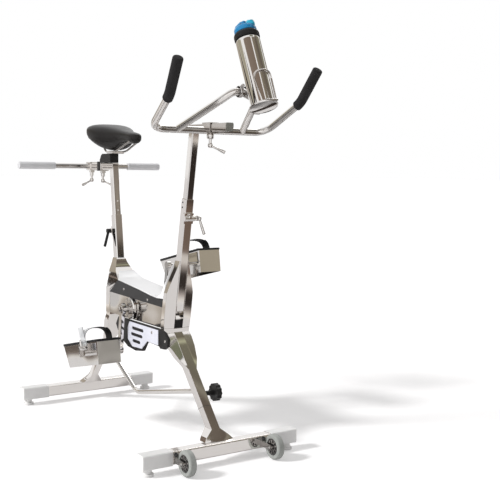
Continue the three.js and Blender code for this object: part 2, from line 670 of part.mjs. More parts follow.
// A square sleeve along a leaning axis, open above, with a lock block on one face.
// Outward is 1 for a block on the front face and -1 for one on the rear face.
function sleeve(axisX, up, foot, top, lockHeight, outward, closed) {
  const low = vec(axisX(foot), 0, foot);
  const high = vec(axisX(top), 0, top);
  const outer = bar(low, high, squareSection(COLUMN_SIDE));
  const face = axisX(lockHeight) + outward * (COLUMN_SIDE / 2 - LAP);
  const rise = up.clone().multiplyScalar(LOCK_BLOCK_HEIGHT / 2);
  const [near, far] = [outward * LOCK_BLOCK_NEAR, -outward * LOCK_BLOCK_FAR];
  const centre = vec(face + outward * LOCK_BLOCK_DEPTH / 2, (near + far) / 2, lockHeight);
  const lockBlock = bar(centre.clone().sub(rise), centre.clone().add(rise),
    squareSection(LOCK_BLOCK_NEAR + LOCK_BLOCK_FAR, LOCK_BLOCK_DEPTH + LAP, STOCK_CHAMFER / 2));
  const barrelX = lockAxisX(axisX, lockHeight, outward);
  const barrelEnd = lockFaceY(outward) - outward * GAP;
  const barrel = rod(vec(barrelX, far, lockHeight), vec(barrelX, barrelEnd, lockHeight),
    LOCK_BARREL_RADIUS, ROUND);
  const start = low.clone().addScaledVector(up, closed ? OVERRUN : -OVERRUN);
  const end = high.clone().addScaledVector(up, OVERRUN);
  const bore = bar(start, end, squareSection(POST_SIDE + 2 * SLIDE_GAP));
  return cut(join(outer, lockBlock, barrel), bore);
}
function lockAxisX(axisX, lockHeight, outward) {
  return axisX(lockHeight) + outward * (COLUMN_SIDE / 2 + LOCK_BARREL_RADIUS);
}
function lockFaceY(outward) {
  return outward * (LOCK_BLOCK_NEAR + LOCK_BARREL_END);
}
function frontColumn() {
  const foot = bodyBottom + RECESS_HEIGHT;
  return sleeve(frontAxisX, frontUp, foot, FRONT_SLEEVE_TOP, frontLockHeight, 1, false);
}
function seatColumn() {
  return sleeve(seatAxisX, seatUp, seatSleeveFoot, SEAT_SLEEVE_TOP, seatLockHeight, -1, true);
}

// The lever on a lock's barrel: a nut round the barrel's axis and a handle that hangs from it.
function lockLever(axisX, lockHeight, outward) {
  const out = vec(0, outward, 0);
  const start = vec(lockAxisX(axisX, lockHeight, outward), lockFaceY(outward), lockHeight);
  const nut = rod(start, start.clone().addScaledVector(out, LOCK_NUT), LOCK_NUT_RADIUS, ROUND);
  const root = start.clone().addScaledVector(out, LOCK_NUT / 2);
  const lean = rad(LOCK_LEVER_LEAN);
  const down = vec(0, outward * Math.sin(lean), -Math.cos(lean));
  const tip = root.clone().addScaledVector(down, LOCK_LEVER_LENGTH);
  return join(nut, rod(root, tip, LOCK_LEVER_RADIUS, WIRE_SIDES));
}

// The room that the seat column takes in the pieces round it.
function seatColumnRoom() {
  const [foot, top] = [seatSleeveFoot - GAP, fairingTop + OVERRUN];
  return bar(vec(seatAxisX(foot), 0, foot), vec(seatAxisX(top), 0, top),
    squareSection(COLUMN_SIDE + 2 * GAP));
}

// The fairing that swells from the seat column into the body.
function seatFairing() {
  const rings = [levelRing(bodyBottom, fairingRear, fairingFront, BODY_HALF),
    levelRing(fairingWaist, fairingRear, fairingFront, BODY_HALF),
    levelRing(fairingNose, fairingRear, fairingFront + FAIRING_REACH, BODY_HALF * FAIRING_REAR_SHARE,
      BODY_HALF)];
  for (const [heightShare, reachShare, flareShare] of FAIRING_SHARES) {
    const z = mix(fairingNose, fairingTop, heightShare);
    const [rear, front] = [seatAxisX(z) - seatHalf, seatAxisX(z) + seatHalf];
    rings.push(levelRing(z, rear, front + FAIRING_REACH * reachShare + GAP,
      mix(COLUMN_SIDE / 2 + GAP, BODY_HALF, flareShare) + GAP));
  }
  return cut(loft(rings), seatColumnRoom());
}

// Top edge of the body core, under the panel, from rear to front.
const coreRear = fairingFront + FAIRING_REACH + GAP;
const coreFront = frontAxisX(panelFront) - columnHalf - PANEL_FRONT_RUN;
function panelPoint([lengthShare, riseShare]) {
  return [mix(coreRear, coreFront, lengthShare), mix(panelFront, panelRear, riseShare)];
}

// The white panel on top of the body, rising in a swoop behind the front column.
function topPanel() {
  const tongue = [coreRear - PANEL_REAR_RUN, panelRear + PANEL_REAR_RISE];
  const rings = [pairRing(tongue, [tongue[0] + PANEL_SHEET, tongue[1] - PANEL_SHEET],
    BODY_HALF * PANEL_TONGUE_SHARE)];
  for (const shares of PANEL_DIP_SHARES) {
    const [x, z] = panelPoint(shares);
    rings.push(pairRing([x, z], [x, z - PANEL_SHEET], BODY_HALF));
  }
  const low = panelFront - PANEL_SHEET;
  for (const [heightShare, runShare, flareShare] of SWOOP_SHARES) {
    const z = mix(panelFront, cheekTop, heightShare);
    const under = mix(low, z, heightShare);
    rings.push(pairRing([behindColumn(z) - PANEL_FRONT_RUN * runShare, z], [behindColumn(under), under],
      mix(COLUMN_SIDE / 2, BODY_HALF, flareShare)));
  }
  return loft(rings);
}

// The core of the body: polished sides and floor, bored for the crank axle.
function bodyCore() {
  const top = PANEL_DIP_SHARES.map(panelPoint).map(([x, z]) => [x, z - PANEL_SHEET - GAP]);
  const low = panelFront - PANEL_SHEET - GAP;
  top[0][0] += 2 * GAP;
  const rear = fairingFront + 3 * GAP;
  const outline = [...top, [behindColumn(low), low], [behindColumn(bodyBottom), bodyBottom],
    [rear, bodyBottom], [rear, fairingWaist - 3 * GAP]];
  const bore = rod(vec(CRANK_X, -2 * BODY_HALF, CRANK_HEIGHT), vec(CRANK_X, 2 * BODY_HALF, CRANK_HEIGHT),
    CRANK_AXLE_RADIUS + TURN_GAP, ROUND);
  return cut(sidePlate(outline, -BODY_HALF, BODY_HALF), bore, seatColumnRoom());
}

// A dark band along the upper edge of one side of the body.
function sideBand(sign) {
  const top = PANEL_DIP_SHARES.map(panelPoint).map(([x, z]) => [x, z - PANEL_SHEET]);
  const front = (z) => [behindColumn(z), z];
  const outline = [...top, front(panelFront - PANEL_SHEET), front(bodyBottom + BAND_FRONT_RISE),
    [fairingFront, bodyBottom + BAND_REAR_RISE]];
  const near = BODY_HALF + GAP;
  const [low, high] = sign > 0 ? [near, near + BAND_SHEET] : [-near - BAND_SHEET, -near];
  return sidePlate(outline, low, high);
}

// The bearing housing of the crank on one side, with a ring of bolt heads.
function bearingHousing(sign) {
  const from = BODY_HALF + GAP;
  const step = BAND_SHEET + GAP;
  const bore = CRANK_AXLE_RADIUS + TURN_GAP;
  const end = step + HOUSING_DEPTH;
  const profile = [[bore, 0], [HOUSING_STEP_RADIUS, 0], [HOUSING_STEP_RADIUS, step], [HOUSING_RADIUS, step],
    [HOUSING_RADIUS, end - HOUSING_BOLT_HEAD], [HOUSING_RADIUS - HOUSING_BOLT_HEAD, end],
    [HOUSING_NOSE_RADIUS, end], [HOUSING_NOSE_RADIUS, end + HOUSING_NOSE], [bore, end + HOUSING_NOSE],
    [bore, 0]];
  const disc = turnedY(profile, CRANK_X, sign * from, CRANK_HEIGHT, sign);
  const bolts = Array.from({ length: HOUSING_BOLTS }, (_, i) => {
    const turn = ((i + 1 / 2) / HOUSING_BOLTS) * 2 * Math.PI;
    const x = CRANK_X + HOUSING_BOLT_RING * Math.cos(turn);
    const z = CRANK_HEIGHT + HOUSING_BOLT_RING * Math.sin(turn);
    const y = sign * (from + end);
    return rod(vec(x, y - sign * LAP, z), vec(x, y + sign * HOUSING_BOLT_HEAD, z), HOUSING_BOLT_RADIUS,
      WIRE_SIDES);
  });
  return join(disc, ...bolts);
}

// The side cover on the right, and the slotted pale plate on it.
function coverPoint([lengthShare, heightShare]) {
  return [COVER_FRONT_X - COVER_LENGTH * (1 - lengthShare),
    bodyBottom - GAP - COVER_HEIGHT * (1 - heightShare)];
}
function sideCover() {
  return sidePlate(COVER_OUTLINE_SHARES.map(coverPoint), -COVER_INNER_Y - COVER_SHEET, -COVER_INNER_Y);
}
function plateSlot([from, to, height]) {
  const [low, high] = [height - PLATE_SLOT_HALF_SHARE, height + PLATE_SLOT_HALF_SHARE];
  return [[from, low], [to, low], [to + PLATE_SLOT_TIP_SHARE, height], [to, high], [from, high],
    [from - PLATE_SLOT_TIP_SHARE, height]].map(coverPoint);
}
function coverPlate() {
  const face = COVER_INNER_Y + COVER_SHEET + GAP;
  return sidePlate(PLATE_OUTLINE_SHARES.map(coverPoint), -face - PLATE_SHEET, -face,
    PLATE_SLOT_SHARES.map(plateSlot));
}

// A crank arm with its pedal spindle, pointing down on the right and up on the left.
function crankEnd(sign) {
  const [turn, reach] = [rad(CRANK_REST), sign * CRANK_LENGTH];
  return vec(CRANK_X + reach * Math.sin(turn), 0, CRANK_HEIGHT + reach * Math.cos(turn));
}
function crankArm(sign) {
  const tip = crankEnd(sign);
  const [near, far] = [sign * CRANK_INNER_Y, sign * (CRANK_INNER_Y + CRANK_SHEET)];
  const mid = (near + far) / 2;
  const hub = rod(vec(CRANK_X, near, CRANK_HEIGHT), vec(CRANK_X, far, CRANK_HEIGHT),
    CRANK_HUB_RADIUS, ROUND);
  const eye = rod(vec(tip.x, near, tip.z), vec(tip.x, far, tip.z), CRANK_END_RADIUS, ROUND);
  const web = bar(vec(CRANK_X, mid, CRANK_HEIGHT), vec(tip.x, mid, tip.z),
    squareSection(CRANK_SHEET, CRANK_WAIST, CRANK_CHAMFER));
  const end = vec(tip.x, sign * (PEDAL_Y + BARREL_INNER), tip.z);
  const spindle = rod(vec(tip.x, mid, tip.z), end, SPINDLE_RADIUS);
  return join(hub, eye, web, spindle);
}
function crankAxle() {
  const end = CRANK_INNER_Y - GAP;
  return rod(vec(CRANK_X, -end, CRANK_HEIGHT), vec(CRANK_X, end, CRANK_HEIGHT), CRANK_AXLE_RADIUS, ROUND);
}

// Turns a pedal piece made about its spindle to its pitch and moves it to its crank.
function placePedal(geometry, sign) {
  const tip = crankEnd(sign);
  return geometry.rotateY(-rad(PEDAL_PITCH)).translate(tip.x, sign * PEDAL_Y, tip.z);
}

// The pedal's folded box, open below, with a window in each side and a barrel for the spindle.
function pedalBody() {
  const shell = (inset, drop) => [[PEDAL_TOE - inset, PEDAL_TOP - inset],
    [PEDAL_TOE_FOOT - inset, -PEDAL_BOTTOM - drop], [-PEDAL_HEEL_FOOT + inset, -PEDAL_BOTTOM - drop],
    [-PEDAL_HEEL + inset, PEDAL_TOP - inset]];
  const box = sidePlate(shell(0, 0), -PEDAL_HALF, PEDAL_HALF);
  const inside = sidePlate(shell(SHEET, OVERRUN), -PEDAL_HALF + SHEET, PEDAL_HALF - SHEET);
  const window = block(-PEDAL_WINDOW_REAR, PEDAL_WINDOW_FRONT, -2 * PEDAL_HALF, 2 * PEDAL_HALF,
    -PEDAL_WINDOW_BOTTOM, PEDAL_TOP - SHEET);
  const hollow = cut(box, inside, window);
  const barrel = rod(vec(0, -BARREL_INNER, 0), vec(0, BARREL_INNER, 0), BARREL_RADIUS, ROUND);
  const web = block(-PEDAL_WEB / 2, PEDAL_WEB / 2, -BARREL_INNER, BARREL_INNER, 0, PEDAL_TOP - SHEET / 2);
  const bore = rod(vec(0, -2 * PEDAL_HALF, 0), vec(0, 2 * PEDAL_HALF, 0), SPINDLE_RADIUS + TURN_GAP);
  return cut(join(hollow, barrel, web), bore);
}
function pedalPad() {
  const half = PEDAL_HALF + PAD_OVERHANG;
  const [rear, front] = [-PEDAL_HEEL - PAD_OVERHANG, PEDAL_TOE + PAD_OVERHANG];
  const [low, top] = [PEDAL_TOP + GAP, PEDAL_TOP + GAP + PAD_THICKNESS];
  const ribs = Array.from({ length: PAD_RIBS }, (_, i) => {
    const place = (share) => mix(rear, front, (i + share) / PAD_RIBS);
    return [[place(0), top], [place(1 / 2), top], [place(1 / 2), top - PAD_RIB_DEPTH],
      [place(1), top - PAD_RIB_DEPTH]];
  });
  return sidePlate([[rear, low], ...ribs.flat(), [front, low]], -half, half);
}

// The strap: a band up each side and over in an arch, thicker on its left, with a tail on its right.
function pedalStrap() {
  const side = PEDAL_HALF + PAD_OVERHANG + GAP + STRAP_SHEET / 2;
  const half = side + STRAP_BULGE;
  const base = PEDAL_TOP + GAP + PAD_THICKNESS;
  const [x, along] = [STRAP_FORWARD, vec(1, 0, 0)];
  const arch = (from, to, out) => Array.from({ length: ARCH_STEPS + 1 }, (_, i) => {
    const turn = rad(mix(from, to, i / ARCH_STEPS));
    const [c, s] = [Math.cos(turn), Math.sin(turn)];
    return vec(x, (half + out) * Math.sign(c) * Math.abs(c) ** ARCH_POWER_SHARE,
      base + (STRAP_RISE + out) * s ** ARCH_POWER_SHARE);
  });
  const band = squareSection(STRAP_WIDTH, STRAP_SHEET, STRAP_SHEET / 4);
  const flank = (sign, drop) => vec(x, sign * side, base - drop);
  const strap = sweep([flank(1, STRAP_DROP), flank(1, PAD_THICKNESS / 2), ...arch(0, 180, 0),
    flank(-1, PAD_THICKNESS / 2), flank(-1, STRAP_DROP)], band, along);
  const thick = squareSection(STRAP_WIDTH, STRAP_PAD + STRAP_SHEET, STRAP_SHEET / 4);
  const pad = sweep(arch(0, STRAP_PAD_SPAN, STRAP_PAD / 3), thick, along);
  const lean = rad(STRAP_TAIL_LEAN);
  const root = vec(x, -half, base + STRAP_RISE / 6);
  const tip = root.clone().add(vec(0, -Math.sin(lean), Math.cos(lean)).multiplyScalar(STRAP_TAIL));
  return join(strap, pad, bar(root, tip, band, along));
}

// A clamp's fixed side below a face: a pad, a neck and a thin stem.
function clampStem(x, low) {
  const pad = block(x - CLAMP_PAD, x + CLAMP_PAD, -CLAMP_PAD, CLAMP_PAD, low - CLAMP_PAD, low + LAP);
  const neck = rod(vec(x, 0, low), vec(x, 0, low - CLAMP_NECK), CLAMP_NECK_RADIUS);
  return join(pad, neck, rod(vec(x, 0, low), vec(x, 0, low - CLAMP_STEM), CLAMP_STEM_RADIUS));
}

// The lever under such a stem: a round nut with a handle that droops out along a heading.
function clampLever(x, low, heading) {
  const droop = rad(LEVER_DROOP);
  const top = vec(x, 0, low - CLAMP_STEM - GAP);
  const nut = rod(top.clone().add(vec(0, 0, -NUT_HEIGHT)), top, NUT_RADIUS, ROUND);
  const out = vec(Math.cos(rad(heading)) * Math.cos(droop), Math.sin(rad(heading)) * Math.cos(droop),
    -Math.sin(droop));
  const root = top.clone().add(vec(0, 0, -NUT_HEIGHT / 2));
  const tip = root.clone().addScaledVector(out, LEVER_LENGTH);
  const side = vec(-out.y, out.x, 0).normalize();
  const up = side.clone().cross(out);
  const ring = (centre, radius) => roundSection(radius, WIRE_SIDES).map(([a, b]) => centre.clone()
    .addScaledVector(side, a).addScaledVector(up, b));
  return join(nut, loft([ring(root, LEVER_RADIUS), ring(tip, LEVER_TIP_RADIUS)]));
}

// The seat post, the bar on top of it, the housing of the hand bar and its clamp stem.
const seatBarFront = seatBarX + POST_SIDE / 2;
const handBarX = seatBarFront - SEAT_BAR_REAR + HAND_BAR_INSET;
const housingLow = SEAT_BAR_HEIGHT - REAR_HOUSING_SIDE / 2;
function seatPost() {
  const [foot, top] = [seatPostFoot, SEAT_BAR_HEIGHT];
  const post = bar(vec(seatAxisX(foot), 0, foot), vec(seatBarX, 0, top), squareSection(POST_SIDE));
  const rear = seatBarFront - SEAT_BAR_REAR;
  const beam = bar(vec(rear, 0, top), vec(seatBarFront, 0, top), squareSection(POST_SIDE));
  const housing = bar(vec(rear, 0, top), vec(rear + REAR_HOUSING, 0, top), squareSection(REAR_HOUSING_SIDE));
  const [right, left] = [-2 * POST_SIDE, 2 * POST_SIDE].map((y) => vec(handBarX, y, top));
  const bore = rod(right, left, HAND_BAR_RADIUS + GAP, ROUND);
  const holes = POST_HOLE_HEIGHTS.map((z) => {
    const face = seatAxisX(z) + POST_SIDE / 2;
    return rod(vec(face - POST_HOLE_DEPTH, 0, z), vec(face + POST_HOLE_DEPTH, 0, z), POST_HOLE_RADIUS);
  });
  return cut(join(post, beam, housing, clampStem(handBarX, housingLow)), bore, ...holes);
}

function rearHandBar() {
  const end = HAND_BAR_HALF - GRIP_END_WALL - GAP;
  const [right, left] = [-end, end].map((y) => vec(handBarX, y, SEAT_BAR_HEIGHT));
  return rod(right, left, HAND_BAR_RADIUS, ROUND);
}
function rearGrip(sign) {
  const outer = sign * HAND_BAR_HALF;
  const inner = outer - sign * REAR_GRIP_LENGTH;
  const sleeve = rod(vec(handBarX, inner, SEAT_BAR_HEIGHT), vec(handBarX, outer, SEAT_BAR_HEIGHT),
    REAR_GRIP_RADIUS, ROUND);
  const hole = rod(vec(handBarX, inner - sign * OVERRUN, SEAT_BAR_HEIGHT),
    vec(handBarX, outer - sign * GRIP_END_WALL, SEAT_BAR_HEIGHT), HAND_BAR_RADIUS + GAP, ROUND);
  return cut(sleeve, hole);
}

// The saddle's carriage: a block on the bar and a collar round it, with a clamp stem below.
const carriageRear = seatBarFront - CARRIAGE_REAR;
const carriageSeat = SEAT_BAR_HEIGHT + POST_SIDE / 2 + SLIDE_GAP;
const carriageTop = carriageSeat + CARRIAGE_HEIGHT;
const carriageLow = SEAT_BAR_HEIGHT - POST_SIDE / 2 - SLIDE_GAP - CARRIAGE_WALL;
const carriageStemX = carriageRear + CARRIAGE_COLLAR / 2;
function saddleCarriage() {
  const round = CARRIAGE_HEIGHT / 3;
  const rear = carriageRear + CARRIAGE_STEP;
  const front = rear + CARRIAGE_LENGTH;
  const outline = [[rear, carriageSeat], [rear, carriageTop - 2 * round],
    [rear + round, carriageTop - round / 2], [rear + 2 * round, carriageTop], [front, carriageTop],
    [front, carriageSeat]];
  const top = sidePlate(outline, -CARRIAGE_HALF, CARRIAGE_HALF);
  const collar = block(carriageRear, carriageRear + CARRIAGE_COLLAR, -CARRIAGE_HALF, CARRIAGE_HALF,
    carriageLow, carriageSeat + CARRIAGE_WALL);
  const bore = bar(vec(carriageRear - OVERRUN, 0, SEAT_BAR_HEIGHT), vec(front + OVERRUN, 0, SEAT_BAR_HEIGHT),
    squareSection(POST_SIDE + 2 * SLIDE_GAP));
  return cut(join(top, collar, clampStem(carriageStemX, carriageLow)), bore);
}

// A place on the saddle: shares of its length from the nose and of its depth from the top.
const saddlePoint = (lengthShare, depthShare) => vec(saddleNoseX - SADDLE_LENGTH * lengthShare, 0,
  SEAT_BAR_HEIGHT + SADDLE_RISE - SADDLE_DEPTH * depthShare);

// The saddle rails: two bent rods and the clamp plate that joins them.
function saddleRails(grow = 0) {
  const rails = sides.map(([, sign]) => {
    const out = vec(0, sign * RAIL_HALF, 0);
    const corners = RAIL_PATH_SHARES.map((shares) => saddlePoint(...shares).add(out));
    corners[1].z = carriageTop + RAIL_LIFT;
    corners[2].z = carriageTop + RAIL_LIFT;
    return sweep(bent(corners, RAIL_CLAMP / 2), roundSection(RAIL_RADIUS + grow, WIRE_SIDES));
  });
  const middle = (saddlePoint(RAIL_PATH_SHARES[1][0], 0).x + saddlePoint(RAIL_PATH_SHARES[2][0], 0).x) / 2;
  const plate = block(middle - RAIL_CLAMP / 2, middle + RAIL_CLAMP / 2, -RAIL_HALF - RAIL_RADIUS,
    RAIL_HALF + RAIL_RADIUS, carriageTop + GAP, carriageTop + RAIL_LIFT + RAIL_RADIUS);
  return join(...rails, plate);
}

// The padded saddle, crowned on top and drawn in below its widest line.
function saddle() {
  const rings = SADDLE_SHARES.map(([lengthShare, widthShare, topShare, lowShare]) => {
    const top = saddlePoint(lengthShare, topShare);
    const low = saddlePoint(lengthShare, lowShare);
    const middle = mix(top.z, low.z, SADDLE_WAIST_SHARE);
    return Array.from({ length: SADDLE_SIDES }, (_, i) => {
      const turn = ((i + 1 / 2) / SADDLE_SIDES) * 2 * Math.PI;
      const [c, s] = [Math.cos(turn), Math.sin(turn)];
      const wide = Math.sign(c) * Math.abs(c) ** (s > 0 ? SADDLE_UPPER_SHARE : SADDLE_LOWER_SHARE);
      const high = s > 0 ? (top.z - middle) * s ** SADDLE_CROWN_SHARE : (middle - low.z) * s;
      return vec(top.x, SADDLE_HALF * widthShare * wide, middle + high);
    });
  });
  return cut(loft(rings), saddleRails(GAP));
}

// The handlebar post with the level bar on top of it, plugged in front.
const levelBarFront = handleBarX + HANDLE_BAR_FRONT;
function handlebarPost() {
  const foot = vec(frontAxisX(handlePostFoot), 0, handlePostFoot);
  const head = vec(handleBarX, 0, HANDLE_BAR_HEIGHT);
  const beam = bar(vec(handleBarX - HANDLE_BAR_REAR, 0, HANDLE_BAR_HEIGHT),
    vec(levelBarFront, 0, HANDLE_BAR_HEIGHT), squareSection(POST_SIDE));
  const inner = POST_SIDE / 2 - SHEET;
  const socket = block(levelBarFront - PLUG_LENGTH, levelBarFront + OVERRUN, -inner, inner,
    HANDLE_BAR_HEIGHT - inner, HANDLE_BAR_HEIGHT + inner);
  return cut(join(bar(foot, head, squareSection(POST_SIDE)), beam), socket);
}
function barPlug() {
  const side = POST_SIDE / 2 - SHEET - GAP;
  const stem = block(levelBarFront - PLUG_LENGTH + GAP, levelBarFront + PLUG_FLANGE, -side, side,
    HANDLE_BAR_HEIGHT - side, HANDLE_BAR_HEIGHT + side);
  const face = bar(vec(levelBarFront + GAP, 0, HANDLE_BAR_HEIGHT),
    vec(levelBarFront + GAP + PLUG_FLANGE, 0, HANDLE_BAR_HEIGHT), squareSection(POST_SIDE));
  return join(stem, face);
}

// The handlebar: a sleeve on the level bar, an arm to each grip, the centre loop and a clamp stem.
const sleeveHalf = POST_SIDE / 2 + SLIDE_GAP + SLEEVE_WALL;
const handleLow = HANDLE_BAR_HEIGHT - sleeveHalf;
const crossbarHeight = HANDLE_BAR_HEIGHT - BAR_RADIUS + SLEEVE_WALL;
function armCorners(sign) {
  const point = ([x, y, z]) => vec(x, sign * y, z);
  return [[HANDLE_X, sleeveHalf - LAP, crossbarHeight], [HANDLE_X, BEND_HALF, crossbarHeight], GRIP_LOW,
    GRIP_HIGH].map(point);
}
function toward(from, to, length) {
  return from.clone().addScaledVector(to.clone().sub(from).normalize(), length);
}
function handlebar() {
  const ring = bar(vec(HANDLE_X - SLEEVE_LENGTH / 2, 0, HANDLE_BAR_HEIGHT),
    vec(HANDLE_X + SLEEVE_LENGTH / 2, 0, HANDLE_BAR_HEIGHT), squareSection(2 * sleeveHalf));
  const arms = sides.map(([, sign]) => {
    const [root, bend, low, high] = armCorners(sign);
    const path = bent([root, bend, low, toward(high, low, GRIP_END_WALL + GAP)], BEND_RADIUS, GRIP_BEND);
    return sweep(path, roundSection(BAR_RADIUS), vec(1, 0, 0));
  });
  const half = (sign) => [vec(LOOP_CROWN[0], sign * LOOP_CROWN[1], LOOP_CROWN[2]),
    vec(LOOP_SHOULDER[0], sign * LOOP_SHOULDER[1], LOOP_SHOULDER[2]),
    vec(HANDLE_X, sign * LOOP_ROOT_HALF, crossbarHeight)];
  const loopPath = bent([...half(-1).reverse(), ...half(1)], LOOP_BEND);
  const loop = sweep(loopPath, roundSection(BAR_RADIUS), vec(0, 0, 1));
  const bore = bar(vec(HANDLE_X - SLEEVE_LENGTH, 0, HANDLE_BAR_HEIGHT),
    vec(HANDLE_X + SLEEVE_LENGTH, 0, HANDLE_BAR_HEIGHT), squareSection(POST_SIDE + 2 * SLIDE_GAP));
  return cut(join(ring, ...arms, loop, clampStem(HANDLE_X, handleLow)), bore);
}
function grip(sign) {
  const [, bend, low, high] = armCorners(sign);
  const start = toward(low, bend, GRIP_BEND);
  const mouth = toward(low, bend, GRIP_BEND + OVERRUN);
  const path = bent([start, low, high], GRIP_BEND);
  const inner = bent([mouth, low, toward(high, low, GRIP_END_WALL)], GRIP_BEND);
  const [skin, hole] = [roundSection(GRIP_RADIUS, ROUND), roundSection(BAR_RADIUS + 2 * GAP, ROUND)];
  return cut(sweep(path, skin, vec(1, 0, 0)), sweep(inner, hole, vec(1, 0, 0)));
}

// Pieces of the bottle and cage are made upright about the bottle's foot, then tilted into place.
function tilt(geometry) {
  return geometry.rotateY(-rad(BOTTLE_TILT)).translate(...BOTTLE_FOOT);
}
function turnedUp(profile, sides = ROUND) {
  const geometry = new THREE.LatheGeometry(profile.map(([r, h]) => new THREE.Vector2(r, h)), sides);
  return geometry.rotateX(Math.PI / 2);
}
function bottleCage() {
  const reach = BOTTLE_RADIUS + CAGE_GAP + WIRE_RADIUS;
  const floor = turnedUp([[0, -CAGE_FLOOR - GAP], [reach, -CAGE_FLOOR - GAP], [reach, -GAP], [0, -GAP]]);
  const back = block(-reach - WIRE_RADIUS, -reach + WIRE_RADIUS, -CAGE_BACK_HALF, CAGE_BACK_HALF,
    -CAGE_FLOOR - GAP, CAGE_BACK_HEIGHT);
  const wirePoint = (degrees, height) => vec(reach * Math.cos(rad(degrees)), reach * Math.sin(rad(degrees)),
    height);
  const arch = Array.from({ length: ARCH_STEPS + 1 }, (_, i) => {
    const turn = Math.PI * (i / ARCH_STEPS);
    const [c, s] = [Math.cos(turn), Math.sin(turn)];
    return wirePoint(CAGE_WIRE_ANGLE * Math.sign(c) * Math.abs(c) ** ARCH_POWER_SHARE,
      CAGE_RING_HEIGHT - CAGE_CORNER * (1 - s ** ARCH_POWER_SHARE));
  });
  const [left, right] = [1, -1].map((sign) => wirePoint(sign * CAGE_FOOT_ANGLE, -CAGE_FLOOR));
  const wire = sweep([left, ...arch, right], roundSection(WIRE_RADIUS, WIRE_SIDES), vec(1, 0, 0));
  const cage = tilt(join(floor, back, wire));
  const [x, , z] = LOOP_CROWN;
  const tube = (extra, half) => rod(vec(x, -half, z), vec(x, half, z), BAR_RADIUS + extra, ROUND);
  const clamp = tube(GAP + CAGE_CLAMP_WALL, CAGE_CLAMP_HALF);
  const up = vec(-Math.sin(rad(BOTTLE_TILT)), 0, Math.cos(rad(BOTTLE_TILT)));
  const ahead = vec(Math.cos(rad(BOTTLE_TILT)), 0, Math.sin(rad(BOTTLE_TILT)));
  const spot = vec(x, 0, z).sub(vec(...BOTTLE_FOOT)).dot(up);
  const rear = vec(...BOTTLE_FOOT).addScaledVector(up, spot).addScaledVector(ahead, -reach);
  const arm = bar(vec(x, 0, z), rear, squareSection(2 * CAGE_CLAMP_HALF));
  return cut(join(cage, clamp, arm), tube(GAP, 2 * CAGE_CLAMP_HALF));
}
function bottle() {
  return tilt(turnedUp([[0, 0], [BOTTLE_RADIUS - SHEET, 0], [BOTTLE_RADIUS, SHEET],
    [BOTTLE_RADIUS, BOTTLE_HEIGHT - BOTTLE_SHOULDER], [BOTTLE_MOUTH_RADIUS, BOTTLE_HEIGHT],
    [0, BOTTLE_HEIGHT]]));
}
function bottleLid() {
  const low = BOTTLE_HEIGHT + GAP;
  return tilt(turnedUp([[0, low], [LID_RADIUS, low], [LID_RADIUS, low + LID_HEIGHT / 2],
    [LID_TOP_RADIUS, low + LID_HEIGHT], [0, low + LID_HEIGHT]]));
}
function bottleCap() {
  const low = BOTTLE_HEIGHT + LID_HEIGHT + 2 * GAP;
  const step = CAP_HEIGHT * CAP_STEP_SHARE;
  const base = turnedUp([[0, low], [CAP_RADIUS, low], [CAP_RADIUS, low + step / 2],
    [CAP_TOP_RADIUS, low + step], [0, low + step]]);
  const outline = SPOUT_SHARES.map(([reach, height]) => [CAP_TOP_RADIUS * reach, low + CAP_HEIGHT * height]);
  return tilt(join(base, sidePlate(outline, -SPOUT_HALF, SPOUT_HALF)));
}

foot('front', frontFootX, FRONT_TRACK);
foot('rear', rearFootX, REAR_TRACK);
for (const [side, sign] of sides) transportWheel(side, sign);
add('front_leg', frontLeg(), STEEL);
add('rear_leg', rearLeg(), STEEL);
add('lower_strut', strut(), STEEL);
add('strut_knob', strutKnob(), BLACK);
add('front_column', frontColumn(), STEEL);
add('seat_column', seatColumn(), STEEL);
add('knee_bolt', kneeBolt(), BRIGHT);
add('seat_fairing', seatFairing(), STEEL);
add('body_core', bodyCore(), STEEL);
add('top_panel', topPanel(), WHITE);
add('side_cover', sideCover(), BLACK);
add('side_cover_plate', coverPlate(), WHITE);
add('crank_axle', crankAxle(), BRIGHT);
for (const [side, sign] of sides) {
  add(`front_cheek_${side}`, frontCheek(sign), STEEL);
  add(`side_band_${side}`, sideBand(sign), DARK);
  add(`bearing_housing_${side}`, bearingHousing(sign), BRIGHT);
  add(`crank_arm_${side}`, crankArm(sign), BRIGHT);
  add(`pedal_${side}`, placePedal(pedalBody(), sign), STEEL);
  add(`pedal_pad_${side}`, placePedal(pedalPad(), sign), BLACK);
  add(`pedal_strap_${side}`, placePedal(pedalStrap(), sign), BLACK);
}

add('seat_post', seatPost(), STEEL);
add('seat_lock_lever', lockLever(seatAxisX, seatLockHeight, -1), BLACK);
add('rear_hand_bar', rearHandBar(), STEEL);
for (const [side, sign] of sides) add(`rear_grip_${side}`, rearGrip(sign), PALE_GRIP);
add('rear_bar_lever', clampLever(handBarX, housingLow, REAR_LEVER_HEADING), BRIGHT);
add('saddle_carriage', saddleCarriage(), BLACK);
add('saddle_lever', clampLever(carriageStemX, carriageLow, SADDLE_LEVER_HEADING), BRIGHT);
add('saddle_rails', saddleRails(), BRIGHT);
add('saddle', saddle(), VINYL);

add('handlebar_post', handlebarPost(), STEEL);
add('bar_plug', barPlug(), OLIVE);
add('post_lock_lever', lockLever(frontAxisX, frontLockHeight, 1), BRIGHT);
add('handlebar', handlebar(), STEEL);
add('handlebar_lever', clampLever(HANDLE_X, handleLow, HANDLE_LEVER_HEADING), BRIGHT);
for (const [side, sign] of sides) add(`grip_${side}`, grip(sign), BLACK);
add('bottle_cage', bottleCage(), BRIGHT);
add('bottle', bottle(), STEEL);
add('bottle_lid', bottleLid(), BLACK);
add('bottle_cap', bottleCap(), BLUE);

// Set the machine's middle over the origin, on the floor.
const bounds = new THREE.Box3().setFromObject(group);
group.position.set(-(bounds.min.x + bounds.max.x) / 2, -(bounds.min.y + bounds.max.y) / 2, -bounds.min.z);

export default group;
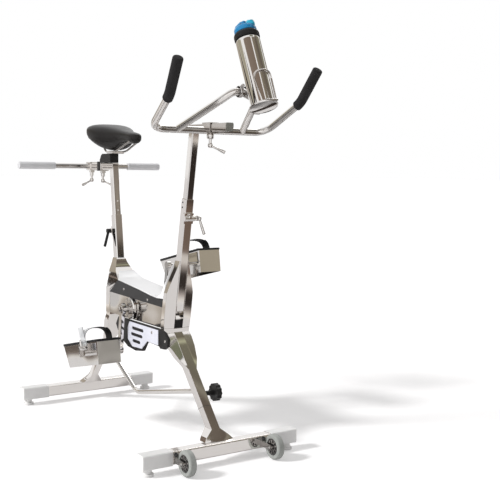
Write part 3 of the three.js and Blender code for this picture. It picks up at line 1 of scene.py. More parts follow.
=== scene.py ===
import json
import math

import bmesh
import bpy
from mathutils import Matrix, Vector


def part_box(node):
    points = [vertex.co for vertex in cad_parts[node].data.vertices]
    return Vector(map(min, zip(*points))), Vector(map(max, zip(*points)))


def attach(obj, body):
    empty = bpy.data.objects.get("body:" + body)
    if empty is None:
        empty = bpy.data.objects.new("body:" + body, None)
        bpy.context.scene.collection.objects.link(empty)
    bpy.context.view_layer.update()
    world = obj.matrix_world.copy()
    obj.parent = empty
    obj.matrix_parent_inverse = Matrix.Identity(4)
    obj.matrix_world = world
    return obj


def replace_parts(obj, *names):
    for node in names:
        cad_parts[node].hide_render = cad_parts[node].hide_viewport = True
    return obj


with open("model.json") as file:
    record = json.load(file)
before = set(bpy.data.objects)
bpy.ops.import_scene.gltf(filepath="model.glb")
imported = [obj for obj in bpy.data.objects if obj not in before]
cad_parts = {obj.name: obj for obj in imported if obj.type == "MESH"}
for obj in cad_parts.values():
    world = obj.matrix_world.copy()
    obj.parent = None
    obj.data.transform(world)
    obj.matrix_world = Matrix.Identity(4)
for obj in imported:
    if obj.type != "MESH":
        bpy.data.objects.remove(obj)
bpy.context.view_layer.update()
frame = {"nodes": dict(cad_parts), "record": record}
scene = bpy.context.scene
scene.view_settings.view_transform = "Standard"


# The viewpoint. Lengths along the machine are counted from the front face of the front
# boots, with the machine's left to the positive side and the floor at zero.
front_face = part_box("front_boot_right")[1].x


def spot(x, y, z):
    """A place in metres, ahead of the front boots' front face, to the left of it and up."""
    return Vector((x + front_face, y, z))


def aim(yaw, pitch, roll):
    """The turn of a camera that looks along a heading, as a matrix."""
    ahead = Vector((-math.cos(yaw) * math.cos(pitch), math.sin(yaw) * math.cos(pitch), math.sin(pitch)))
    level = ahead.cross(Vector((0, 0, 1))).normalized()
    upright = level.cross(ahead)
    right = level * math.cos(roll) + upright * math.sin(roll)
    above = upright * math.cos(roll) - level * math.sin(roll)
    return Matrix((right, above, -ahead)).transposed().to_4x4()


CAMERA_PLACE = (2.34798, -1.51938, 0.9132)
CAMERA_YAW, CAMERA_PITCH, CAMERA_ROLL = math.radians(34.3648), math.radians(-5.1087), math.radians(0.8041)
camera_data = bpy.data.cameras.new("viewpoint")
camera_data.lens = 66.88
camera_data.sensor_width = 36
camera_data.clip_end = 200
camera = bpy.data.objects.new("viewpoint", camera_data)
scene.collection.objects.link(camera)
camera.matrix_world = Matrix.Translation(spot(*CAMERA_PLACE)) @ aim(CAMERA_YAW, CAMERA_PITCH, CAMERA_ROLL)
scene.camera = camera


# The studio: a pale floor that runs out into a white background, one broad key lamp from
# the machine's right, and a plain even fill. Warm brown and grey cards stand and lie out of
# the camera's sight, and show only in the polished metal.
def feed(tree, node, *terms, **inputs):
    """Gives a node's inputs, in their order or by name, even values or links from sockets."""
    for key, source in [*enumerate(terms), *inputs.items()]:
        socket = node.inputs[key if isinstance(key, int) else key.replace("_", " ")]
        if isinstance(source, bpy.types.NodeSocket):
            tree.links.new(source, socket)
        else:
            socket.default_value = source
    return node


def add_node(tree, kind, *terms, operation=None, **inputs):
    """Adds a shader node with its inputs fed."""
    node = tree.nodes.new("ShaderNode" + kind)
    if operation:
        node.operation = operation
    return feed(tree, node, *terms, **inputs)


def new_material(name, **inputs):
    """A material with its node tree, and its shader with even values on its own sockets."""
    material = bpy.data.materials.new(name)
    material.use_nodes = True
    tree = material.node_tree
    return material, tree, feed(tree, tree.nodes["Principled BSDF"], **inputs)


def seen_by(tree, *rays):
    """A value that is one for rays of any of these kinds, and nought for all others."""
    kinds = add_node(tree, "LightPath").outputs
    seen = kinds[rays[0]]
    for ray in rays[1:]:
        seen = add_node(tree, "Math", seen, kinds[ray], operation="MAXIMUM").outputs[0]
    return seen


def fill_ramp(ramp, stops):
    """Gives a ramp its stops, each a share of the way along and a colour."""
    steps = ramp.color_ramp.elements
    for number, (share, color) in enumerate(stops):
        inner = 0 < number < len(stops) - 1
        step = steps.new(share) if inner else steps[0 if number == 0 else -1]
        step.position = share
        step.color = (*color, 1)


def flat_board(name, corners, material):
    """A stage board between four corners."""
    board = bmesh.new()
    board.faces.new([board.verts.new(corner) for corner in corners])
    mesh = bpy.data.meshes.new(name)
    board.to_mesh(mesh)
    board.free()
    mesh.materials.append(material)
    obj = bpy.data.objects.new(name, mesh)
    scene.collection.objects.link(obj)
    return obj


floor_paint, tree, matt = new_material("studio floor", Base_Color=(0.83, 0.82, 0.82, 1), Roughness=0.8,
                                       Specular_IOR_Level=0.1)
glow = add_node(tree, "Emission", Strength=0.3)
lit = add_node(tree, "AddShader", matt.outputs[0], glow.outputs[0])
lit_rays = seen_by(tree, "Is Camera Ray", "Is Transmission Ray")
mixed = add_node(tree, "MixShader", lit_rays, matt.outputs[0], lit.outputs[0])
feed(tree, tree.nodes["Material Output"], Surface=mixed.outputs[0])
flat_board("studio_floor", [(-60, -60, 0), (60, -60, 0), (60, 60, 0), (-60, 60, 0)], floor_paint)


PICTURE_GAMMA, STEEL_MIRRORS = 2.2, 0.78


def tone(red, green, blue):
    """The glow that shows as this colour of the picture, in percent, when steel mirrors it."""
    return tuple(min(1.0, (level / 100) ** PICTURE_GAMMA / STEEL_MIRRORS) for level in (red, green, blue))


def card(name, corners, stops, axis=None, boost=1.0):
    """A glowing card that only polished surfaces see. Its colour runs through stops, each at a
    length along the axis, or at a distance from the middle of the floor if there is no axis."""
    material, tree, shader = new_material(name)
    tree.nodes.remove(shader)
    first, last = stops[0][0], stops[-1][0]
    surface = add_node(tree, "TexCoord").outputs["Object"]
    length = add_node(tree, "VectorMath", surface, axis or (0, 0, 0),
                      operation="DOT_PRODUCT" if axis else "LENGTH")
    share = add_node(tree, "MapRange", Value=length.outputs["Value"], From_Min=first, From_Max=last)
    ramp = add_node(tree, "ValToRGB", share.outputs["Result"])
    fill_ramp(ramp, [((reach - first) / (last - first), tone(*color)) for reach, color in stops])
    glow = add_node(tree, "Emission", Color=ramp.outputs["Color"], Strength=boost)
    feed(tree, tree.nodes["Material Output"], Surface=glow.outputs[0])
    obj = flat_board(name, corners, material)
    obj.visible_camera = False
    obj.visible_diffuse = False
    obj.visible_shadow = False
    obj.visible_transmission = False


def wall(name, heading, distance, half_width, stops):
    """A card that stands facing the machine from a heading, as low and high as its outer stops."""
    turn = math.radians(heading)
    middle = Vector((math.cos(turn), math.sin(turn), 0)) * distance
    side = Vector((-math.sin(turn), math.cos(turn), 0)) * half_width
    low, high = Vector((0, 0, stops[0][0])), Vector((0, 0, stops[-1][0]))
    card(name, [middle - side + low, middle + side + low, middle + side + high, middle - side + high],
         stops, UP)


def fan(name, first, last, stops):
    """A card just over the floor between two headings, as near and as far as its outer stops."""
    turns = [math.radians(first + (last - first) * step / 12) for step in range(13)]
    near, far = stops[0][0], stops[-1][0]
    edge = [(math.cos(turn) * near, math.sin(turn) * near, FAN_Z) for turn in turns]
    edge += [(math.cos(turn) * far, math.sin(turn) * far, FAN_Z) for turn in reversed(turns)]
    card(name, edge, stops)


def ceiling(name, places, stops, axis, height=3.4, boost=1.0):
    """A level card overhead, its corners above places on the floor."""
    card(name, [(x, y, height) for x, y in places], stops, axis, boost)


AHEAD, LEFT, RIGHT, UP = (1, 0, 0), (0, 1, 0), (0, -1, 0), (0, 0, 1)
WALL_REACH, FAN_Z = 4.8, 0.004
pale, beige, brown = (90, 88, 86), (74, 71, 67), (42, 36.5, 33)
dim, dark = (30, 27, 25), (20, 18, 17)
fan("front_floor_card", 10, 80,
    [(1.12, pale), (1.2, (60, 57, 55)), (1.27, dark), (1.44, dark), (1.53, (55, 52, 50)),
     (1.58, (78, 76, 74)), (1.68, (76, 74, 72)), (1.72, brown), (2.4, (40, 34, 30)),
     (2.62, dark), (3.84, (17, 15, 14)), (3.88, (85, 83, 80)), (3.98, (85, 83, 80)),
     (4.04, (50, 45, 42)), (4.7, (50, 45, 42))])
wall("front_wall_card", 40.75, 4.7, 0.94,
     [(0.0, dark), (0.5, (30, 28, 25)), (0.9, (60, 57, 51)), (1.5, (60, 57, 51)),
      (2.1, (62, 59, 53)), (2.6, (66, 63, 58))])
wall("front_wall_edge", 21.75, 4.7, 0.65,
     [(0.0, dark), (0.36, (40, 39, 38)), (0.5, (66, 65, 63)), (0.7, (50, 49, 47)),
      (0.82, (64, 63, 61)), (1.03, (68, 66, 64)), (1.14, dark), (1.34, (22, 20, 18)),
      (1.44, (48, 45, 42)), (1.8, (54, 51, 47)), (2.6, (64, 61, 57))])
wall("left_wall_card", 112, WALL_REACH, 1.2, [(1.0, (50, 47, 42)), (3.2, (45, 43, 38))])
wall("rear_wall_card", 190, WALL_REACH, 2.0, [(1.17, (60, 57, 52)), (2.6, beige)])
fan("rear_floor_card", 196, 226,
    [(1.4, pale), (1.5, (42, 38, 35)), (1.76, (30, 27, 25)), (1.9, (80, 78, 75)),
     (2.2, (84, 82, 80)), (2.45, beige), (2.9, (66, 63, 60)), (3.1, beige), (3.5, pale)])
ceiling("right_ceiling_card", ((0.6, -3.7), (2.7, -4.3), (4.0, -0.3), (2.0, -0.35)),
        [(-3.9, (50, 45, 41)), (-0.3, (46, 41, 37))], LEFT)
ceiling("left_ceiling_card", ((0.4, 1.35), (2.5, 1.35), (2.9, 4.4), (-0.2, 4.4)),
        [(-0.2, (50, 49, 44)), (0.8, (40, 38, 33)), (1.0, (66, 66, 56)),
         (1.12, (44, 43, 37)), (1.5, (40, 38, 34)), (1.62, (52, 50, 45)),
         (1.75, (36, 33, 30)), (2.9, (46, 43, 39))], AHEAD)
ceiling("near_ceiling_card", ((0.9, -0.25), (1.9, -0.25), (1.9, 0.85), (0.9, 0.85)),
        [(0.9, (62, 62, 56)), (1.3, (44, 45, 38)), (1.9, (40, 40, 34))], AHEAD)
wall("right_wall_card", 226, WALL_REACH, 2.3,
     [(1.45, (20, 19, 18)), (1.74, (24, 22, 21)), (1.84, (68, 66, 60)),
      (2.2, (60, 58, 52)), (3.6, (66, 64, 58))])
ceiling("upper_left_card", ((2.05, 0.1), (3.3, 0.1), (3.3, 1.35), (2.05, 1.35)),
        [(0.1, (50, 47, 42)), (1.35, (42, 39, 34))], LEFT)
wall("outline_card", 141, WALL_REACH, 0.75, [(0.1, dark), (1.12, (24, 22, 20))])
wall("rear_low_card", 195, 4.9, 0.5, [(0.2, dark), (1.24, (26, 24, 22))])
wall("rear_bar_card", 200.5, WALL_REACH, 0.5,
     [(0.885, (62, 58, 54)), (0.925, (46, 41, 38)), (1.0, dark)])
fan("rear_left_floor_card", 104, 152, [(1.7, (30, 28, 26)), (1.8, dark), (4.4, dark)])
fan("right_floor_card", 236, 300,
    [(1.5, (34, 31, 29)), (1.56, dark), (1.92, dark), (1.97, pale), (2.24, pale), (2.3, dark),
     (4.4, dim)])
for side, first, last in (("right", 232, 322), ("left", 88, 188)):
    fan(f"{side}_ring_card", first, last,
        [(0.95, (40, 37, 35)), (1.0, dark), (1.17, dark), (1.22, (50, 47, 45))])
for side, heading in (("left", 80), ("right", 264)):
    wall(f"{side}_edge_card", heading, WALL_REACH, 0.42, [(0.1, dark), (3.2, dim)])
wall("upper_edge_card", 46, 4.6, 1.5, [(2.85, dark), (3.5, dim)])
ceiling("top_light", ((-2.5, 1.7), (-1.0, 1.7), (-1.0, 3.2), (-2.5, 3.2)),
        [(1.7, (100, 100, 100)), (3.2, (100, 100, 100))], LEFT, 3.5, 5.0)

world = bpy.data.worlds.new("studio")
scene.world = world
world.use_nodes = True
tree = world.node_tree
fill = feed(tree, tree.nodes["Background"], Color=(0.985, 0.98, 0.98, 1), Strength=0.46)
backdrop = add_node(tree, "Background", Color=(1, 1, 1, 1), Strength=1.0)
picture_rays = seen_by(tree, "Is Camera Ray", "Is Glossy Ray", "Is Transmission Ray")
mixed = add_node(tree, "MixShader", picture_rays, fill.outputs[0], backdrop.outputs[0])
feed(tree, tree.nodes["World Output"], Surface=mixed.outputs[0])

KEY_FROM = (-0.17, -0.79, 0.585)
key_data = bpy.data.lights.new("key lamp", "SUN")
key_data.energy = 2.7
key_data.angle = math.radians(9)
key = bpy.data.objects.new("key lamp", key_data)
key.rotation_euler = Vector(KEY_FROM).to_track_quat("Z", "Y").to_euler()
key.visible_glossy = False
scene.collection.objects.link(key)


# The two feet. Each is a square tube of polished stainless steel with a pale plastic boot
# pushed over each end, and each boot stands on a round glide. The tube's corners are rolled.
bodies = frame["record"]["behaviour"]["bodies"]
body_of = {node: body for body, members in bodies.items() for node in members}
SIDES = (("right", -1), ("left", 1))


def new_group(name, inputs, outputs):
    """A shader node group with named sockets, and its input and output nodes."""
    tree = bpy.data.node_groups.new(name, "ShaderNodeTree")
    for way, sockets in (("INPUT", inputs), ("OUTPUT", outputs)):
        for socket in sockets:
            kind = "NodeSocketColor" if socket == "Color" else "NodeSocketFloat"
            tree.interface.new_socket(name=socket, in_out=way, socket_type=kind)
    return tree, tree.nodes.new("NodeGroupInput").outputs, tree.nodes.new("NodeGroupOutput")


def marks_group():
    """Polished metal: a roughness that varies with smudges, a height for fine lines drawn out
    upward, and a height for slow waves in a sheet."""
    tree, given, end = new_group("polishing marks", ("Roughness", "Spread", "Stretch", "Wave Scale"),
                                 ("Roughness", "Lines", "Waves"))
    surface = add_node(tree, "TexCoord").outputs["Object"]
    smudge = add_node(tree, "TexNoise", Vector=surface, Scale=14, Detail=5)
    centred = add_node(tree, "Math", smudge.outputs["Fac"], 0.5, operation="SUBTRACT")
    varied = add_node(tree, "Math", centred.outputs[0], given["Spread"], given["Roughness"],
                      operation="MULTIPLY_ADD")
    kept = add_node(tree, "Math", varied.outputs[0], 0.02, operation="MAXIMUM")
    tall = add_node(tree, "CombineXYZ", given["Stretch"], given["Stretch"], 1.0)
    drawn = add_node(tree, "VectorMath", surface, tall.outputs[0], operation="MULTIPLY")
    lines = add_node(tree, "TexNoise", Vector=drawn.outputs[0], Scale=40, Detail=3)
    waves = add_node(tree, "TexNoise", Vector=surface, Scale=given["Wave Scale"], Detail=0)
    feed(tree, end, kept.outputs[0], lines.outputs["Fac"], waves.outputs["Fac"])
    return tree


def grain_group():
    """Moulded plastic or rubber: the colour given, which drifts a little darker and lighter over
    the surface, and a height for the grain."""
    tree, given, end = new_group("moulded grain", ("Color", "Tint", "Scale"), ("Color", "Height"))
    surface = add_node(tree, "TexCoord").outputs["Object"]
    cloud = add_node(tree, "TexNoise", Vector=surface, Scale=22)
    drift = add_node(tree, "MapRange", Value=cloud.outputs["Fac"], From_Min=0.3, From_Max=0.7, To_Min=-1.0)
    level = add_node(tree, "Math", drift.outputs["Result"], given["Tint"], 1.0, operation="MULTIPLY_ADD")
    shade = add_node(tree, "VectorMath", given["Color"], operation="SCALE", Scale=level.outputs[0])
    grain = add_node(tree, "TexNoise", Vector=surface, Scale=given["Scale"], Detail=4)
    feed(tree, end, shade.outputs[0], grain.outputs["Fac"])
    return tree


polishing_marks, moulded_grain = marks_group(), grain_group()


def place_group(tree, group, **inputs):
    """Adds a shader node group with its inputs fed."""
    node = tree.nodes.new("ShaderNodeGroup")
    node.node_tree = group
    return feed(tree, node, **inputs)


def bump(tree, shader, height, strength, distance):
    """Feeds a height into the shader's normal."""
    relief = add_node(tree, "Bump", Strength=strength, Distance=distance, Height=height)
    feed(tree, shader, Normal=relief.outputs["Normal"])
    return relief


def polished(name, color, roughness, spread, stretch=30.0, relief=0.02, swell=None):
    """Polished metal with faint marks. A swell is the scale and depth of slow waves in a sheet."""
    material, tree, shader = new_material(name, Base_Color=(*color, 1), Metallic=1.0)
    marks = place_group(tree, polishing_marks, Roughness=roughness, Spread=spread, Stretch=stretch)
    feed(tree, shader, Roughness=marks.outputs["Roughness"])
    fine = bump(tree, shader, marks.outputs["Lines"], relief, 0.0004)
    if swell:
        feed(tree, marks, Wave_Scale=swell[0])
        waves = add_node(tree, "Bump", Distance=swell[1], Height=marks.outputs["Waves"])
        feed(tree, fine, Normal=waves.outputs["Normal"])
    return material


def speckled(name, color, roughness, scale, strength, distance, tint=0.15, **sockets):
    """A moulded plastic or rubber: fine grain in the surface and a slight change of tone."""
    material, tree, shader = new_material(name, Roughness=roughness, **sockets)
    grain = place_group(tree, moulded_grain, Color=(*color, 1), Tint=tint, Scale=scale)
    feed(tree, shader, Base_Color=grain.outputs["Color"])
    bump(tree, shader, grain.outputs["Height"], strength, distance)
    return material


def with_painted_reflection_lines(material, *stops):
    """Paints dark lines into a polished tube's colour beside its edges: a painted reflection of the dim room
    there.
    """
    tree = material.node_tree
    ramp = add_node(tree, "ValToRGB", add_node(tree, "LayerWeight", Blend=0.5).outputs["Facing"])
    fill_ramp(ramp, [(share, (level, level * 0.965, level * 0.935)) for share, level in stops])
    feed(tree, tree.nodes["Principled BSDF"], Base_Color=ramp.outputs["Color"])
    return material


# The steel's warm pinkish tint is a painted reflection of the beige floor that it mirrors.
frame_steel = polished("mirror stainless steel", (0.80, 0.77, 0.745), 0.06, 0.05)
boot_plastic = speckled("pale boot plastic", (0.86, 0.855, 0.845), 0.42, 260, 0.12, 0.0004, 0.03,
                        Subsurface_Weight=0.25, Subsurface_Scale=0.006, Subsurface_Radius=(1, 1, 1))


def join_up(shape, sharp=38.0, level=True):
    """Merges a solid's loose triangles, joins what is level and marks the sharp edges."""
    bmesh.ops.remove_doubles(shape, verts=shape.verts, dist=2e-6)
    if level:
        bmesh.ops.dissolve_limit(shape, angle_limit=math.radians(0.6), verts=shape.verts, edges=shape.edges)
    bmesh.ops.recalc_face_normals(shape, faces=shape.faces)
    for face in shape.faces:
        face.smooth = True
    for edge in shape.edges:
        edge.smooth = len(edge.link_faces) == 2 and edge.calc_face_angle(0) < math.radians(sharp)


def place(name, shape, material, body, sharp=38.0):
    """Makes a finished shape an object that rides on its body."""
    join_up(shape, sharp, False)
    mesh = bpy.data.meshes.new(name)
    shape.to_mesh(mesh)
    shape.free()
    for one in material if isinstance(material, (list, tuple)) else [material]:
        mesh.materials.append(one)
    obj = bpy.data.objects.new(name, mesh)
    scene.collection.objects.link(obj)
    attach(obj, body)
    return obj


def round_edges(obj, width, segments=2, angle=38.0):
    """Rolled edges, with normals that keep the flats flat."""
    bevel = obj.modifiers.new("rolled edges", "BEVEL")
    bevel.width = width
    bevel.segments = segments
    bevel.limit_method = "ANGLE"
    bevel.angle_limit = math.radians(angle)
    bevel.harden_normals = True
    bevel.use_clamp_overlap = True
    return obj


def stand_in(name, node, shape, material, sharp=38.0):
    """Makes a finished shape the object that replaces a node."""
    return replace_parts(place(name, shape, material, body_of[node], sharp), node)


def dress(node, material, edge, segments=2, sharp=38.0):
    """The node's own solid, joined up and with rolled edges, in place of its loose triangles."""
    shape = bmesh.new()
    shape.from_mesh(frame["nodes"][node].data)
    join_up(shape, sharp)
    return round_edges(stand_in(node + "_finished", node, shape, material, sharp), edge, segments, sharp)


def at(x, y, z):
    """A place in millimetres, ahead of the front boots' front face, to the left of it and up."""
    return spot(x / 1000, y / 1000, z / 1000)


def facing(origin, axis):
    """A stand at a place, with its height along an axis."""
    return Matrix.Translation(origin) @ Vector(axis).to_track_quat("Z", "Y").to_matrix().to_4x4()


def block(shape, stand, *sides):
    """Adds a block about the middle of a stand, with its three sides in millimetres."""
    spread = Matrix.Diagonal((*(side / 1000 for side in sides), 1))
    bmesh.ops.create_cube(shape, size=1, matrix=stand @ spread)


def rings_to_faces(shape, rings):
    """Joins rings of points into a skin. A ring may be a single point."""
    for low, high in zip(rings, rings[1:]):
        count = max(len(low), len(high))
        for number in range(count):
            after = (number + 1) % count
            corners = [low[number % len(low)], low[after % len(low)], high[after % len(high)],
                       high[number % len(high)]]
            shape.faces.new(list(dict.fromkeys(corners)))


def turned(shape, profile, stand, sides=32):
    """Adds a piece turned about a stand's axis, from pairs of radius and height in millimetres."""
    rings = []
    for radius, height in profile:
        turns = [0.0] if radius == 0 else [math.tau * number / sides for number in range(sides)]
        points = [Vector((radius * math.cos(turn), radius * math.sin(turn), height)) for turn in turns]
        rings.append([shape.verts.new(stand @ (point / 1000)) for point in points])
    rings_to_faces(shape, rings)


def bent(corners, *reaches):
    """A line through corners, each rounded with its own reach or the last one given."""
    path = [corners[0]]
    last = len(corners) - 1
    for number in range(1, last):
        here = corners[number]
        back, ahead = corners[number - 1] - here, corners[number + 1] - here
        room = min(back.length / (2 if number > 1 else 1), ahead.length / (2 if number < last - 1 else 1))
        reach = min(reaches[min(number, len(reaches)) - 1] / 1000, room)
        start, end = here + back.normalized() * reach, here + ahead.normalized() * reach
        for step in range(13):
            share = step / 12
            path.append(start * (1 - share) ** 2 + here * 2 * share * (1 - share) + end * share ** 2)
    return path + [corners[last]]


def tube(shape, path, radius, sides=28, ends=0.0):
    """Adds a closed round tube along a path, its ends rounded off. Radii are in millimetres."""
    radii = list(radius) if isinstance(radius, (list, tuple)) else [radius] * len(path)
    knots = list(zip(path, radii))
    if ends:
        lead, trail = (path[1] - path[0]).normalized(), (path[-2] - path[-1]).normalized()
        turns = [math.radians(turn) for turn in (0, 25, 50, 90)]
        curve = [(1 - math.cos(turn), 1 - math.sin(turn)) for turn in turns]
        head = [(path[0] + lead * ends * out / 1000, radii[0] - ends * less) for out, less in curve]
        tail = [(path[-1] + trail * ends * out / 1000, radii[-1] - ends * less) for out, less in curve]
        knots = head + knots[1:-1] + tail[::-1]
    side = None
    rings = []
    for number, (point, reach) in enumerate(knots):
        along = (knots[min(number + 1, len(knots) - 1)][0] - knots[max(number - 1, 0)][0]).normalized()
        if side is None:
            side = along.cross(Vector((0, 0, 1)) if abs(along.z) < 0.9 else Vector((1, 0, 0)))
        side = (side - along * side.dot(along)).normalized()
        other = along.cross(side)
        turns = [math.tau * step / sides for step in range(sides)]
        outward = [side * math.cos(turn) + other * math.sin(turn) for turn in turns]
        rings.append([shape.verts.new(point + way * reach / 1000) for way in outward])
    rings_to_faces(shape, rings)
    shape.faces.new(rings[0])
    shape.faces.new(rings[-1])


for end in ("front", "rear"):
    dress(f"{end}_foot_tube", frame_steel, 0.0012)
    for side in ("right", "left"):
        dress(f"{end}_boot_{side}", boot_plastic, 0.0025, 3)


# The transport wheels at the front foot. Each has a pale soft tyre on a bright hub with a
# ring of pockets, and turns between the cheeks of a fork bent from steel sheet and welded on.
# Bright fittings carry painted reflection: dark lines in their colour beside the edges, for the dim room
# they mirror.
bright_metal = with_painted_reflection_lines(polished("bright fittings", (0.80, 0.79, 0.775), 0.06, 0.05, 12.0, 0.02),
                          (0.0, 0.84), (0.2, 0.84), (0.33, 0.4), (0.5, 0.34), (0.62, 0.8), (0.85, 0.8),
                          (1.0, 0.5))
tyre_rubber = speckled("pale tyre", (0.33, 0.342, 0.325), 0.5, 420, 0.2, 0.0003, 0.08,
                       Subsurface_Weight=0.2, Subsurface_Scale=0.004, Subsurface_Radius=(1, 1, 1))
# Black for the plugs, the seam and the set screws, and painted shade in the wheel hubs' pockets and grooves.
black_and_pocket_shade = speckled("black parts and painted pocket shade", (0.03, 0.03, 0.03), 0.6, 300, 0.1, 0.0002, 0.2)
WHEEL_X, WHEEL_Y, WHEEL_Z = 47, 158.5, 41
CHEEK_FACE, PLUG_X, PLUG_Z = 22, 9, 58


for side, sign in SIDES:
    dress(f"wheel_tyre_{side}", tyre_rubber, 0.003, 4)
    dress(f"wheel_hub_{side}", bright_metal, 0.0012)
    dress(f"wheel_fork_{side}", bright_metal, 0.0006)
    # The black rings inside the hub are painted shade in its pockets and grooves.
    shape = bmesh.new()
    hub_middle = at(WHEEL_X, sign * WHEEL_Y, WHEEL_Z)
    for inner, outer, low, high in ((6, 23.6, -6.5, 6.5), (22.9, 25.3, 10.3, 10.7),
                                    (22.9, 25.3, -10.7, -10.3), (9.6, 11.2, 10.3, 10.7),
                                    (9.6, 11.2, -10.7, -10.3)):
        turned(shape, [(inner, low), (outer, low), (outer, high), (inner, high), (inner, low)],
               facing(hub_middle, LEFT), 36)
    place(f"wheel_pocket_shade_{side}", shape, black_and_pocket_shade, f"wheel_{side}")
    shape = bmesh.new()
    for way in (-1, 1):
        face = at(WHEEL_X, sign * WHEEL_Y + way * CHEEK_FACE, WHEEL_Z)
        turned(shape, [(6.6, 0), (6.6, 2.2), (5.6, 3), (0, 3.4)], facing(face, (0, way, 0)), 6)
    place(f"axle_nuts_{side}", shape, bright_metal, "frame")
    shape = bmesh.new()
    turned(shape, [(6.5, 0), (6.5, 7), (5.6, 8.4), (3, 8.4), (3, 6), (0, 6)],
           facing(at(PLUG_X, sign * WHEEL_Y - 17, PLUG_Z), (0.5, -0.4, 0.75)), 6)
    place(f"fork_plug_{side}", shape, black_and_pocket_shade, "frame")


# The legs, the cheeks above the front leg, the strut and its knob. The legs are folded sheet
# that flares out to the width of the body, with the outer folds of the front leg turned back.
# The knob is moulded black plastic, fluted round its rim.
black_plastic = speckled("black moulded plastic", (0.016, 0.0155, 0.0155), 0.36, 700, 0.15, 0.0002, 0.2,
                         Specular_IOR_Level=0.22)
# Drawn tube carries painted reflection: dark lines in its colour beside the edges, for the dim room it
# mirrors.
tube_steel = with_painted_reflection_lines(polished("drawn steel tube", (0.78, 0.75, 0.73), 0.035, 0.03, relief=0.006),
                        (0.0, 0.84), (0.11, 0.86), (0.18, 0.4), (0.3, 0.34), (0.38, 0.84), (0.74, 0.84),
                        (0.86, 0.4), (1.0, 0.46))
FOOT_Z, FOOT_TOP, FRONT_FOOT_X, REAR_FOOT_X = 45.5, 65.5, -22.5, -991.5
LEG_TOP, KNEE_X, KNEE_TOP, REAR_LEG_TOP, REAR_LEG_TOP_X = 366, -305.5, 379.7, 372, -715.45
COLUMN_HALF, HALF_DEPTH, BODY_HALF = 15.5, 15.72, 48.7
FRONT_LEAN, FOLD = math.tan(math.radians(9.54)), 0.3
CHEEK_LOW, CHEEK_HIGH, CHEEK_HALF = 380, 606, 50
KNOB_Z, KNOB_FACE_Y = 187, 67.8
STRUT_PATH, STRUT_BEND, STRUT_RADIUS = ((-155.4, 0, 196), (-579.5, 0, 103), (-828.7, 0, 238)), 30, 8
RIVET_HEIGHTS = (240, 212)


def mix(low, high, share):
    """The value that is a share of the way from low to high."""
    return low + (high - low) * share


def front_axis(z):
    """How far along the middle of the front column is at a height."""
    return KNEE_X + (z - LEG_TOP) * FRONT_LEAN


def folded(name, node, rings, material):
    """A piece of folded sheet in place of a node: rings of corners in millimetres, bottom to top."""
    shape = bmesh.new()
    loops = [[shape.verts.new(at(*corner)) for corner in ring] for ring in rings]
    rings_to_faces(shape, loops)
    shape.faces.new(loops[0])
    shape.faces.new(loops[-1])
    return round_edges(stand_in(name, node, shape, material, 9), 0.0011, 3, 9)


def front_leg_axis(z):
    """How far along the middle of the front leg is at a height."""
    return mix(FRONT_FOOT_X, KNEE_X, (z - FOOT_Z) / (LEG_TOP - FOOT_Z))


def front_leg_rings(side, gusset, flares):
    """Corners of the front leg with its three front folds, from the gusset on the foot to the
    flare. A flare is a share of the leg's height and a share of the body's width."""
    slope = (front_leg_axis(LEG_TOP) - front_leg_axis(FOOT_TOP)) / (LEG_TOP - FOOT_TOP)
    depth = side / 2 * math.hypot(1, slope)
    levels = [(FOOT_TOP + 0.3, 20, gusset, 0.6), (FOOT_TOP + 12, 19.4, gusset * 0.8, 0.6),
              (FOOT_TOP + 33, depth, side / 2, 0.0)]
    for height, flare in flares:
        levels.append((LEG_TOP * height, mix(depth, HALF_DEPTH, flare / 3) if height < 1 else HALF_DEPTH,
                       mix(side / 2, BODY_HALF, flare), flare))
    rings = []
    for z, reach, half, flare in levels:
        inner = min(half * 0.8, COLUMN_HALF)
        back = (half - inner) * FOLD * flare
        rear, front = front_leg_axis(z) - reach, front_leg_axis(z) + reach
        rings.append([(rear, -half, z), (front - back, -half, z), (front, -inner, z),
                      (front, inner, z), (front - back, half, z), (rear, half, z)])
    return rings


rings = front_leg_rings(31, 52, ((0.71, 0), (0.79, 0.56), (0.885, 0.92), (0.955, 1), (1, 1)))
rise = front_axis(KNEE_TOP) - front_axis(LEG_TOP)
rings.append([(x + rise, y, KNEE_TOP) for x, y, z in rings[-1]])
folded("front_leg_folded", "front_leg", rings, frame_steel)
dress("rear_leg", frame_steel, 0.0012, 3)
for side, sign in SIDES:
    rings = []
    for height, flare in ((0, 0.96), (0.16, 1), (0.4, 1), (0.52, 0.98), (0.63, 0.78), (0.76, 0.5),
                          (0.9, 0.2), (1, 0.03)):
        z = mix(CHEEK_LOW, CHEEK_HIGH, height)
        inner = COLUMN_HALF + 0.3
        outer = mix(inner, CHEEK_HALF, flare) + 0.3
        rear, front = front_axis(z) - HALF_DEPTH, front_axis(z) + HALF_DEPTH
        rings.append([(rear, sign * inner, z), (front, sign * inner, z),
                      (front - (outer - inner) * FOLD, sign * outer, z), (rear, sign * outer, z)])
    folded(f"front_cheek_folded_{side}", f"front_cheek_{side}", rings, frame_steel)

shape = bmesh.new()
tube(shape, bent([at(*corner) for corner in STRUT_PATH], STRUT_BEND), STRUT_RADIUS)
stand_in("strut_tube", "lower_strut", shape, tube_steel)
dress("strut_knob", black_plastic, 0.0016, 3)
shape = bmesh.new()
turned(shape, [(19, -0.5), (19, 1.6), (16.5, 2.6), (9, 3.2), (7, 2), (0, 1.6)],
       facing(at(front_leg_axis(KNOB_Z), KNOB_FACE_Y, KNOB_Z), LEFT), 40)
place("knob_face", shape, black_plastic, "strut_knob")


